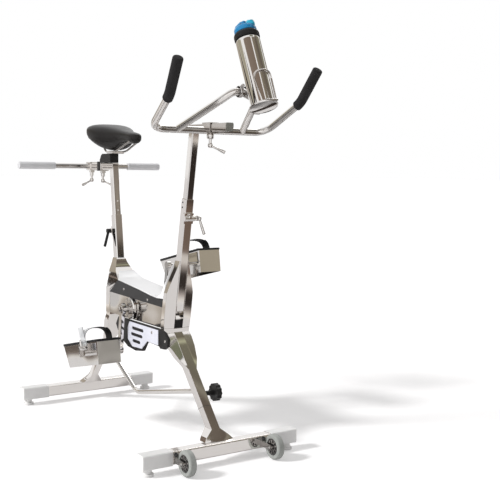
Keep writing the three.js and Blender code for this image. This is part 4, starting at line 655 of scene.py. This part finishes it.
def screws(name, places, axis, radius, height, material=bright_metal, body="frame"):
    """A set of domed screw heads, each with a socket in it, as one piece."""
    shape = bmesh.new()
    pit = radius * 0.45
    for origin in places:
        turned(shape, [(radius, -0.4), (radius, height * 0.35), (radius * 0.86, height * 0.8),
                       (radius * 0.6, height), (pit, height), (pit, height * 0.35), (0, height * 0.3)],
               facing(origin, axis), 20)
    place(name, shape, material, body)


def rear_leg_axis(z):
    """How far along the middle of the rear leg is at a height."""
    return mix(REAR_FOOT_X, REAR_LEG_TOP_X, (z - FOOT_Z) / (REAR_LEG_TOP - FOOT_Z))


screws("rear_leg_rivets", [at(rear_leg_axis(z) - 2, -12.5 - (z - 200) * 0.02, z) for z in RIVET_HEIGHTS],
       RIGHT, 4, 2)


# The body: polished sheet sides, a fairing behind, a white panel on top, a dark satin band
# along each upper edge, and on the right a black cover with a white plate, held by screws.
# The front leg has a seam where its foot piece is joined on.
white_sheet = speckled("white satin sheet", (0.88, 0.88, 0.885), 0.32, 500, 0.04, 0.0002, 0.02,
                       Coat_Weight=0.3, Coat_Roughness=0.15)
plate_sheet = speckled("cool white plate", (0.74, 0.75, 0.83), 0.3, 500, 0.04, 0.0002, 0.03,
                       Coat_Weight=0.3)
dark_sheet = speckled("dark satin sheet", (0.026, 0.0255, 0.027), 0.34, 600, 0.06, 0.0002, 0.1,
                      Specular_IOR_Level=0.25)
body_steel = polished("pressed body sheet", (0.63, 0.61, 0.59), 0.07, 0.05, swell=(7.0, 0.010))
GAP_SHADE_Z, SEAM_Z = 394, 152
BAND_SCREW_Y, BAND_SCREWS = 50.9, ((-583, 478), (-408, 462))
COVER_SCREWS = ((-585, -64.2, 357), (-345, -67.4, 362), (-262, -64.2, 345))
dress("body_core", body_steel, 0.0012, 3)
dress("seat_fairing", frame_steel, 0.0012, 3)
dress("top_panel", white_sheet, 0.0006)
for side, sign in SIDES:
    dress(f"side_band_{side}", dark_sheet, 0.0004)
    screws(f"band_screws_{side}", [at(x, sign * BAND_SCREW_Y, z) for x, z in BAND_SCREWS],
           (0, sign, 0), 4.6, 2.4)
dress("side_cover", black_plastic, 0.003, 4)
dress("side_cover_plate", plate_sheet, 0.001, 3)
screws("cover_screws", [at(*corner) for corner in COVER_SCREWS], RIGHT, 4.8, 2.2)
dress("knee_bolt", bright_metal, 0.0008)
# A black block in the gap under the front column's foot: painted shade where the gap looks dark.
shape = bmesh.new()
block(shape, Matrix.Translation(at(front_axis(GAP_SHADE_Z) + 4, 0, GAP_SHADE_Z)), 18, 30.8, 26)
round_edges(place("knee_gap_shade", shape, black_plastic, "frame"), 0.002, 3)
shape = bmesh.new()
reach = COLUMN_HALF * math.hypot(1, (KNEE_X - FRONT_FOOT_X) / (LEG_TOP - FOOT_Z)) + 0.1
corners = ((1, -1), (1, 1), (-1, 1), (-1, -1), (1, -1))
tube(shape, [at(front_leg_axis(SEAM_Z + way * 8) + way * reach, sign * (COLUMN_HALF + 0.1), SEAM_Z + way * 8)
             for way, sign in corners], 0.55, 8)
place("front_leg_seam", shape, black_and_pocket_shade, "frame")


# The drive: a bearing housing bolted to each side of the body, the axle through both, and
# two crank arms, each held by a bolt and washer. All are bright metal.
CRANK_X, CRANK_Z, CRANK_FACE = -526, 418, 91.8
for node in ("crank_axle", "crank_arm_right", "crank_arm_left", "bearing_housing_right",
             "bearing_housing_left"):
    dress(node, bright_metal, 0.001, 3)
for side, sign in SIDES:
    shape = bmesh.new()
    stand = facing(at(CRANK_X, sign * CRANK_FACE, CRANK_Z), (0, sign, 0))
    turned(shape, [(0, 0), (14, 0), (14, 1.6), (13, 2.4), (0, 2.4)], stand)
    turned(shape, [(0, 2), (9, 2), (9, 7), (8, 8), (0, 8)], stand, 6)
    place(f"crank_bolt_{side}", shape, bright_metal, "crank")


# The pedals: boxes folded from polished sheet, open below, with a ribbed black pad on top
# and a strap over the foot. Each strap is clear toward the machine's right and black toward
# its left, and a small buckle holds its right end.
pad_rubber = speckled("black pad rubber", (0.016, 0.0155, 0.0155), 0.6, 500, 0.25, 0.0004, 0.2,
                      Specular_IOR_Level=0.2)
pedal_steel = polished("pedal sheet", (0.78, 0.76, 0.74), 0.09, 0.06, 20.0, 0.02, (11.0, 0.0022))
strap_black = speckled("black strap", (0.016, 0.0155, 0.0155), 0.5, 500, 0.2, 0.0003, 0.2,
                       Specular_IOR_Level=0.22)
strap_clear = speckled("clear strap", (0.80, 0.81, 0.82), 0.3, 500, 0.2, 0.0003, 0.04,
                       Transmission_Weight=0.7, IOR=1.2)
CRANK_LENGTH, SPINDLE_Y, CRANK_TURN, TOE_UP = 146, 185, math.radians(6.3), math.radians(13)


def pedal_stand(sign):
    """The pedal's own stand: the middle of its spindle, pitched with the toe up."""
    middle = at(CRANK_X + sign * CRANK_LENGTH * math.sin(CRANK_TURN), sign * SPINDLE_Y,
                CRANK_Z + sign * CRANK_LENGTH * math.cos(CRANK_TURN))
    return Matrix.Translation(middle) @ Matrix.Rotation(-TOE_UP, 4, "Y")


for side, sign in SIDES:
    stand = pedal_stand(sign)
    dress(f"pedal_{side}", pedal_steel, 0.001, 3)
    dress(f"pedal_pad_{side}", pad_rubber, 0.0014)
    strap = dress(f"pedal_strap_{side}", [strap_clear, strap_black], 0.0008)
    for face in strap.data.polygons:
        face.material_index = int(face.center.y > stand.translation.y + 0.006)
    shape = bmesh.new()
    tube(shape, [stand @ Vector((reach, -0.047, height)) for reach, height in
                 ((0.006, 0.018), (0.026, 0.017), (0.046, 0.019))], [8, 7, 6.5], 20, 2.5)
    tube(shape, [stand @ Vector((0.008, -0.0485, height)) for height in (0.016, 0.032, 0.046)],
         [4.5, 5, 4], 16, 1.5)
    place(f"strap_buckle_{side}", shape, bright_metal, f"pedal_{side}")
    screws(f"buckle_pins_{side}", [stand @ Vector((reach, -0.054, 0.021)) for reach in (0.008, 0.04)],
           RIGHT, 3.4, 2, body=f"pedal_{side}")


# The columns and posts: square stainless tube, each post sliding in its column and held by
# a lock on one face of the column. The front lock has a knurled screw, a ball and a ribbed
# handle, and the rear one is a black lever. The level bar on the front post takes a darker
# steel colour, a painted reflection of the dim room above it.
dark_reflection_steel = polished("steel with painted dark reflection", (0.5, 0.465, 0.435), 0.08, 0.05)
BAR_SPLIT_Z, LOCK_Z, LOCK_REACH, LOCK_Y, HANDLE_LENGTH = 1017, 746, 24.5, 17.7, 55
SET_SCREW_HEIGHTS = (797, 781)
for node in ("front_column", "seat_column", "seat_post"):
    dress(node, frame_steel, 0.0022, 3)
# Above the split the post takes the darker steel: a painted reflection of the dim room above.
post = dress("handlebar_post", [frame_steel, dark_reflection_steel], 0.0022, 3)
split = at(0, 0, BAR_SPLIT_Z)
shape = bmesh.new()
shape.from_mesh(post.data)
everything = shape.verts[:] + shape.edges[:] + shape.faces[:]
bmesh.ops.bisect_plane(shape, geom=everything, plane_co=split, plane_no=UP)
for face in shape.faces:
    face.material_index = int(face.calc_center_median().z > split.z)
shape.to_mesh(post.data)
shape.free()
plug_plastic = speckled("olive plug", (0.21, 0.21, 0.185), 0.45, 500, 0.1, 0.0002, 0.15)
dress("bar_plug", plug_plastic, 0.0012)
dress("seat_lock_lever", black_plastic, 0.002, 3)


def knurled(shape, stand, radius, length, teeth=26):
    """Adds a round grip with teeth along it, rounded at both ends."""
    rings = []
    for height, share in ((0, 0.86), (length * 0.12, 1), (length * 0.88, 1), (length, 0.86)):
        ring = []
        for number in range(teeth * 2):
            turn = math.tau * number / (teeth * 2)
            reach = (radius * share - (0.9 if number % 2 else 0)) / 1000
            ring.append(shape.verts.new(stand @ Vector((reach * math.cos(turn), reach * math.sin(turn),
                                                        height / 1000))))
        rings.append(ring)
    rings_to_faces(shape, rings)
    shape.faces.new(rings[0])
    shape.faces.new(rings[-1])


shape = bmesh.new()
start = at(front_axis(LOCK_Z) + LOCK_REACH, LOCK_Y, LOCK_Z)
knurled(shape, facing(start, LEFT), 8.6, 11)
ball = start + Vector((0, 0.017, -0.001))
lifts = [math.radians(turn) for turn in range(-72, 73, 12)]
turned(shape, [(0, -7.6)] + [(7.6 * math.cos(lift), 7.6 * math.sin(lift)) for lift in lifts] + [(0, 7.6)],
       facing(ball, UP), 28)
down = Vector((0, math.sin(math.radians(20)), -math.cos(math.radians(20))))
tube(shape, [ball + down * HANDLE_LENGTH / 1000 * step / 40 for step in range(41)],
     [(4.3 if step % 4 < 2 else 3.4) + step * 0.03 for step in range(41)], 20, 2.0)
stand_in("post_lock_handle", "post_lock_lever", shape, bright_metal)
shape = bmesh.new()
column_face, outward = front_axis(LOCK_Z) + 15.3, (1, 0, -0.16)
screw_stand = facing(at(column_face, -3, LOCK_Z + 6), outward)
knurled(shape, screw_stand, 10.5, 14)
knurled(shape, facing(at(column_face, -12.5, LOCK_Z - 4), outward), 6, 11, 18)
turned(shape, [(0, 14), (6, 14), (6.4, 17), (4, 19), (0, 19)], screw_stand, 6)
place("front_lock_screw", shape, bright_metal, "frame")
screws("sleeve_set_screws", [at(front_axis(z) - 4, -15.2, z) for z in SET_SCREW_HEIGHTS], RIGHT, 3, 1.4,
       black_and_pocket_shade)


# The rear hand bar on top of the seat post, with pale soft grips, and the clamp levers, each
# a ball-shaped nut on a thin stem with a slim tapered handle.
pale_grip = speckled("pale grip rubber", (0.7, 0.7, 0.715), 0.5, 600, 0.2, 0.0003, 0.03,
                     Subsurface_Weight=0.2, Subsurface_Scale=0.005, Subsurface_Radius=(1, 1, 1))
HAND_BAR_X, HAND_BAR_Z, HAND_BAR_HALF, GRIP_INNER, GRIP_OUTER = -960.99, 908, 287.7, 150, 292
CARRIAGE_X, CARRIAGE_LOW, SLEEVE_X, SLEEVE_LOW = -861.99, 890.6, -99, 1014.6
shape = bmesh.new()
tube(shape, [at(HAND_BAR_X, y, HAND_BAR_Z) for y in (-HAND_BAR_HALF, 0, HAND_BAR_HALF)], 10, 32)
stand_in("hand_bar_tube", "rear_hand_bar", shape, tube_steel)
for side, sign in SIDES:
    shape = bmesh.new()
    inner, outer = sign * GRIP_INNER, sign * GRIP_OUTER
    turned(shape, [(10.3, inner), (12.2, inner), (13.5, inner + sign * 1.5), (13.5, outer - sign * 5),
                   (12.6, outer - sign * 1.8), (10, outer - sign * 0.3), (3, outer),
                   (2.4, outer - sign * 1.5), (0, outer - sign * 1.5)],
           facing(at(HAND_BAR_X, 0, HAND_BAR_Z), LEFT), 36)
    stand_in(f"rear_grip_soft_{side}", f"rear_grip_{side}", shape, pale_grip)


def clamp(node, x, low, heading):
    """The lever under a clamp: a ball nut and a drooping tapered handle."""
    stem, ball_middle, length = 30.3, 7, 51
    shape = bmesh.new()
    turned(shape, [(0, 0), (5.4, 0), (6.2, -1.2), (7.5, -5), (7.5, -9), (6.4, -12.4), (4, -14), (0, -14)],
           facing(at(x, 0, low - stem), UP), 28)
    droop, turn = math.radians(24), math.radians(heading)
    out = Vector((math.cos(turn) * math.cos(droop), math.sin(turn) * math.cos(droop), -math.sin(droop)))
    root = at(x, 0, low - stem - ball_middle)
    shares = [step / 12 for step in range(13)]
    tube(shape, [root + out * length / 1000 * share for share in shares],
         [4.6 - 1.7 * math.sin(math.pi * min(1, share * 1.3)) + share for share in shares], 20, 2.4)
    stand_in(f"{node}_turned", node, shape, bright_metal)


clamp("rear_bar_lever", HAND_BAR_X, HAND_BAR_Z - 16, 205)
clamp("saddle_lever", CARRIAGE_X, CARRIAGE_LOW, 62)
clamp("handlebar_lever", SLEEVE_X, SLEEVE_LOW, 48)


# The saddle: a firm padded cushion in black vinyl, broad behind and slim at the nose, on two
# bent rails clamped to the sliding carriage. The carriage is black above and bright metal
# round the level bar.
vinyl = speckled("black saddle vinyl", (0.019, 0.0175, 0.017), 0.34, 900, 0.2, 0.0004, 0.15,
                 Specular_IOR_Level=0.28)
CARRIAGE_SPLIT_Z, RAIL_PLATE_X, RAIL_PLATE_Z = 920.8, -756.8, 959.5
RAIL_PATH = ((-819.4, 21, 1002.6), (-797.6, 21, 961.4), (-716, 21, 961.4), (-607.2, 17, 998.4))
RAIL_BEND, RAIL_RADIUS = 22, 3.6
NOSE_X, LENGTH, HALF, TOP_Z, DEPTH = -580, 272, 88, 1062, 106
# Each row of the cushion: shares of its length, its half width, and its depth above and below.
SADDLE_SHARES = ((0, 0.07, 0.46, 0.58), (0.02, 0.19, 0.38, 0.66), (0.08, 0.27, 0.33, 0.69),
                 (0.2, 0.3, 0.28, 0.68), (0.34, 0.4, 0.22, 0.7), (0.5, 0.62, 0.13, 0.84),
                 (0.66, 0.9, 0.05, 0.9), (0.8, 1, 0, 0.8), (0.91, 0.93, 0.01, 0.64),
                 (0.98, 0.66, 0.08, 0.5), (1, 0.35, 0.18, 0.4))
carriage = dress("saddle_carriage", [black_plastic, bright_metal], 0.0016, 3)
for face in carriage.data.polygons:
    face.material_index = int(face.center.z < at(0, 0, CARRIAGE_SPLIT_Z).z)
shape = bmesh.new()
for sign in (-1, 1):
    rail = [at(x, sign * y, z) for x, y, z in RAIL_PATH]
    tube(shape, bent(rail, RAIL_BEND), RAIL_RADIUS, 20)
stand_in("saddle_rail_rods", "saddle_rails", shape, bright_metal)
shape = bmesh.new()
block(shape, Matrix.Translation(at(RAIL_PLATE_X, 0, RAIL_PLATE_Z)), 44, 50, 10)
round_edges(place("rail_clamp_plate", shape, bright_metal, "saddle"), 0.002, 3)


def through(rows, steps):
    """Rows of numbers with smooth rows between them."""
    made = []
    for number in range(len(rows) - 1):
        near = [rows[max(0, min(number + shift, len(rows) - 1))] for shift in (-1, 0, 1, 2)]
        for step in range(steps):
            share = step / steps
            made.append([0.5 * (2 * start + (end - before) * share
                                + (2 * before - 5 * start + 4 * end - after) * share * share
                                + (3 * start - before - 3 * end + after) * share ** 3)
                         for before, start, end, after in zip(*near)])
    return made + [list(rows[-1])]


def saddle_place(row, turn, grow=0.0):
    """A place on the saddle's skin: a row of shares, and an angle round it from its left side."""
    along, wide, top, low = row
    high, deep = TOP_Z - DEPTH * top, TOP_Z - DEPTH * low
    waist = high + (deep - high) * 0.42
    cosine, sine = math.cos(turn), math.sin(turn)
    reach = math.copysign(abs(cosine) ** (0.72 if sine > 0 else 0.9), cosine)
    lift = (high - waist) * sine ** 0.62 if sine > 0 else (waist - deep) * sine
    return at(NOSE_X - LENGTH * along, reach * (HALF * wide + grow), waist + lift)


shape = bmesh.new()
rows = through(SADDLE_SHARES, 5)
rings = [[shape.verts.new(saddle_place(row, math.tau * (number + 0.5) / 44)) for number in range(44)]
         for row in rows]
rings_to_faces(shape, rings)
for ring in (rings[0], rings[-1]):
    middle = shape.verts.new(sum((vert.co for vert in ring), Vector()) / len(ring))
    rings_to_faces(shape, [[middle], ring])
stand_in("saddle_cushion", "saddle", shape, vinyl, 70)
shape = bmesh.new()
for turn in (math.radians(-24), math.radians(204)):
    tube(shape, [saddle_place(row, turn, -0.2) for row in rows], 1.0, 10)
place("saddle_seam", shape, strap_black, "saddle")


# The handlebar: a square sleeve on the level bar with its clamp's stem below, an arm out and up
# to each foam grip, and a loop in the middle that carries the bottle's cage. The arms and the
# loop are bent from one size of tube.
grip_foam = speckled("black grip foam", (0.022, 0.021, 0.022), 0.8, 900, 0.5, 0.0008, 0.2,
                     Specular_IOR_Level=0.25)
BAR_Z, ARM_Z, TUBE_RADIUS, GRIP_RADIUS, GRIP_START = 1031, 1023, 11, 15.5, 17.8
SLEEVE_HALF, SLEEVE_OUTER, SLEEVE_INNER = 23, 16.4, 13.45
ARM_BENDS, ARM_END = ((SLEEVE_X, 205, ARM_Z), (53, 230, 1111)), (121, 241.8, 1206)
CROWN_X, CROWN_Z = 79, 1130
HALF_LOOP = ((SLEEVE_X, 118, ARM_Z), (54, 62, 1104), (CROWN_X, 33, CROWN_Z))


shape = bmesh.new()
for sign in (-1, 1):
    arm = [at(x, sign * y, z) for x, y, z in ((SLEEVE_X, 13, ARM_Z), *ARM_BENDS, ARM_END)]
    tube(shape, bent(arm, 46, 24), TUBE_RADIUS, 32)
loop = [at(x, -y, z) for x, y, z in HALF_LOOP] + [at(*corner) for corner in reversed(HALF_LOOP)]
tube(shape, bent(loop, 60, 16, 30, 30, 16, 60), TUBE_RADIUS, 32)
turned(shape, [(0, 2), (9, 2), (9.6, 0), (11, -2), (11, -14), (9, -17), (4.6, -18.5), (4.6, -30), (0, -30)],
       facing(at(SLEEVE_X, 0, SLEEVE_LOW), UP), 32)
stand_in("handlebar_tubes", "handlebar", shape, tube_steel, 50)
# The sleeve takes the darker steel too: a painted reflection of the dim room above.
shape = bmesh.new()
corners = ((-1, -1), (1, -1), (1, 1), (-1, 1))
outer_low, outer_high, inner_high, inner_low = (
    [shape.verts.new(at(SLEEVE_X + reach, y * half, BAR_Z + z * half)) for y, z in corners]
    for reach, half in ((-SLEEVE_HALF, SLEEVE_OUTER), (SLEEVE_HALF, SLEEVE_OUTER),
                        (SLEEVE_HALF, SLEEVE_INNER), (-SLEEVE_HALF, SLEEVE_INNER)))
rings_to_faces(shape, [outer_low, outer_high, inner_high, inner_low, outer_low])
round_edges(place("handlebar_sleeve", shape, dark_reflection_steel, "handlebar"), 0.0018, 3)
for side, sign in SIDES:
    bend, low = [at(x, sign * y, z) for x, y, z in ARM_BENDS]
    start = low + (bend - low).normalized() * GRIP_START / 1000
    shape = bmesh.new()
    tube(shape, bent([start, low, at(122, sign * 242, 1208)], 17), GRIP_RADIUS, 36, 4.5)
    stand_in(f"grip_foam_{side}", f"grip_{side}", shape, grip_foam, 60)


# The bottle, made upright about its foot and then tilted back: a steel bottle, a ribbed black
# lid, and a blue cap with a spout folded down on it. Its cage is a cup with a back plate and a
# bent wire, and an arm and two clamps hold the cage on the handlebar's loop.
bottle_steel = polished("bottle steel", (0.78, 0.755, 0.73), 0.05, 0.03, 2.0, 0.008)
cap_plastic = speckled("blue cap plastic", (0.002, 0.19, 0.42), 0.22, 300, 0.03, 0.0002, 0.05)
spout_plastic = speckled("teal spout plastic", (0.01, 0.36, 0.52), 0.2, 300, 0.03, 0.0002, 0.05)
BOTTLE_X, BOTTLE_Z, BOTTLE_TILT = 184, 1083, math.radians(-23.8)
RIB_REACH, RIB_MIDDLE, WIRE_REACH = 0.0366, 0.2198, 40
upright = Matrix.Translation(at(BOTTLE_X, 0, BOTTLE_Z)) @ Matrix.Rotation(BOTTLE_TILT, 4, "Y")


def tilted(x, y, z):
    """A place by the bottle, in millimetres from the middle of its foot."""
    return upright @ (Vector((x, y, z)) / 1000)


def bottle_tube(shape, places, *sizes):
    """Adds a tube through places by the bottle."""
    tube(shape, [tilted(*spot_here) for spot_here in places], *sizes)


shape = bmesh.new()
turned(shape, [(0, 2), (28, 2), (30, 0.6), (33.5, 0.6), (35.2, 1.6), (36, 4), (36, 6), (36, 100), (36, 201),
               (36, 203), (35.6, 207), (34.4, 210.5), (33.4, 212), (0, 212)], upright, 64)
stand_in("bottle_shell", "bottle", shape, bottle_steel)
shape = bmesh.new()
turned(shape, [(0, 212.3), (36.2, 212.3), (37, 213.2), (37, 226.5), (36, 229.5), (33, 232.5), (0, 232.5)],
       upright, 64)
for number in range(48):
    rib = Matrix.Rotation(math.tau * number / 48, 4, "Z") @ Matrix.Translation((RIB_REACH, 0, RIB_MIDDLE))
    block(shape, upright @ rib, 1.4, 2.2, 11)
stand_in("lid_ribbed", "bottle_lid", shape, black_plastic)
shape = bmesh.new()
turned(shape, [(0, 232.8), (31.5, 232.8), (33, 234.5), (33, 243), (30, 250), (24, 254), (0, 255)],
       upright, 64)
stand_in("cap_base", "bottle_cap", shape, cap_plastic)
for name, material, places, *sizes in (
        ("cap_spout", cap_plastic, ((-32, -8, 249), (-20, -5, 256), (-4, -1, 260), (9, 2, 261)),
         [12, 14.5, 14, 11.5], 28, 5),
        ("cap_latch", spout_plastic, ((2, 8, 256), (12, 10, 258), (21, 11, 254), (27, 11, 246)),
         [10, 12.5, 12, 8], 28, 4),
        ("cap_hinge", black_plastic, [(6, y, 256) for y in (-17, 0, 17)], 4, 20, 1)):
    shape = bmesh.new()
    bottle_tube(shape, places, *sizes)
    place(name, shape, material, "bottle_cap")
shape = bmesh.new()
turned(shape, [(0, -3.3), (38, -3.3), (41.5, -2.4), (42.5, 0.4), (41.2, 1.2), (39.8, 0), (37, -0.3),
               (0, -0.3)], upright, 64)
block(shape, upright @ Matrix.Translation(Vector((-40, 0, 64.35)) / 1000), 5, 24, 135.3)


def by_wire(heading, height):
    """A place on the round that the wire follows, by its heading from straight ahead."""
    return tilted(WIRE_REACH * math.cos(heading), WIRE_REACH * math.sin(heading), height)


path = [by_wire(math.radians(38), -2)]
for step in range(61):
    turn = math.pi * step / 60
    cosine, sine = math.cos(turn), math.sin(turn)
    heading = math.radians(48 * math.copysign(abs(cosine) ** 0.72, cosine))
    path.append(by_wire(heading, 72 + 24 * sine ** 0.72))
tube(shape, path + [by_wire(math.radians(-38), -2)], 2.5, 16, 1)
bottle_tube(shape, [(44, y, 0.5) for y in (-20, 0, 20)], 3, 16, 1)
stand_in("cage_frame", "bottle_cage", shape, bright_metal)
shape = bmesh.new()
crown = at(CROWN_X, 0, CROWN_Z)
for y in (-12, 12):
    turned(shape, [(11.4, -5), (16, -5), (17.2, -4), (17.2, 4), (16, 5), (11.4, 5), (11.4, -5)],
           facing(crown + Vector((0, y / 1000, 0)), LEFT), 36)
    for lift in (-13, 13):
        knurled(shape, facing(crown + Vector((0.008, y / 1000, lift / 1000)), (0.9, 0, 0.4)), 4.6, 14, 12)
place("cage_clamps", shape, bright_metal, "handlebar")
shape = bmesh.new()
rear = tilted(-40, 0, 52)
reach = rear - crown
lean = reach.to_track_quat("X", "Z").to_matrix().to_4x4()
block(shape, Matrix.Translation((crown + rear) / 2) @ lean, reach.length * 1000, 20, 24)
round_edges(place("cage_arm", shape, bright_metal, "handlebar"), 0.004, 3)
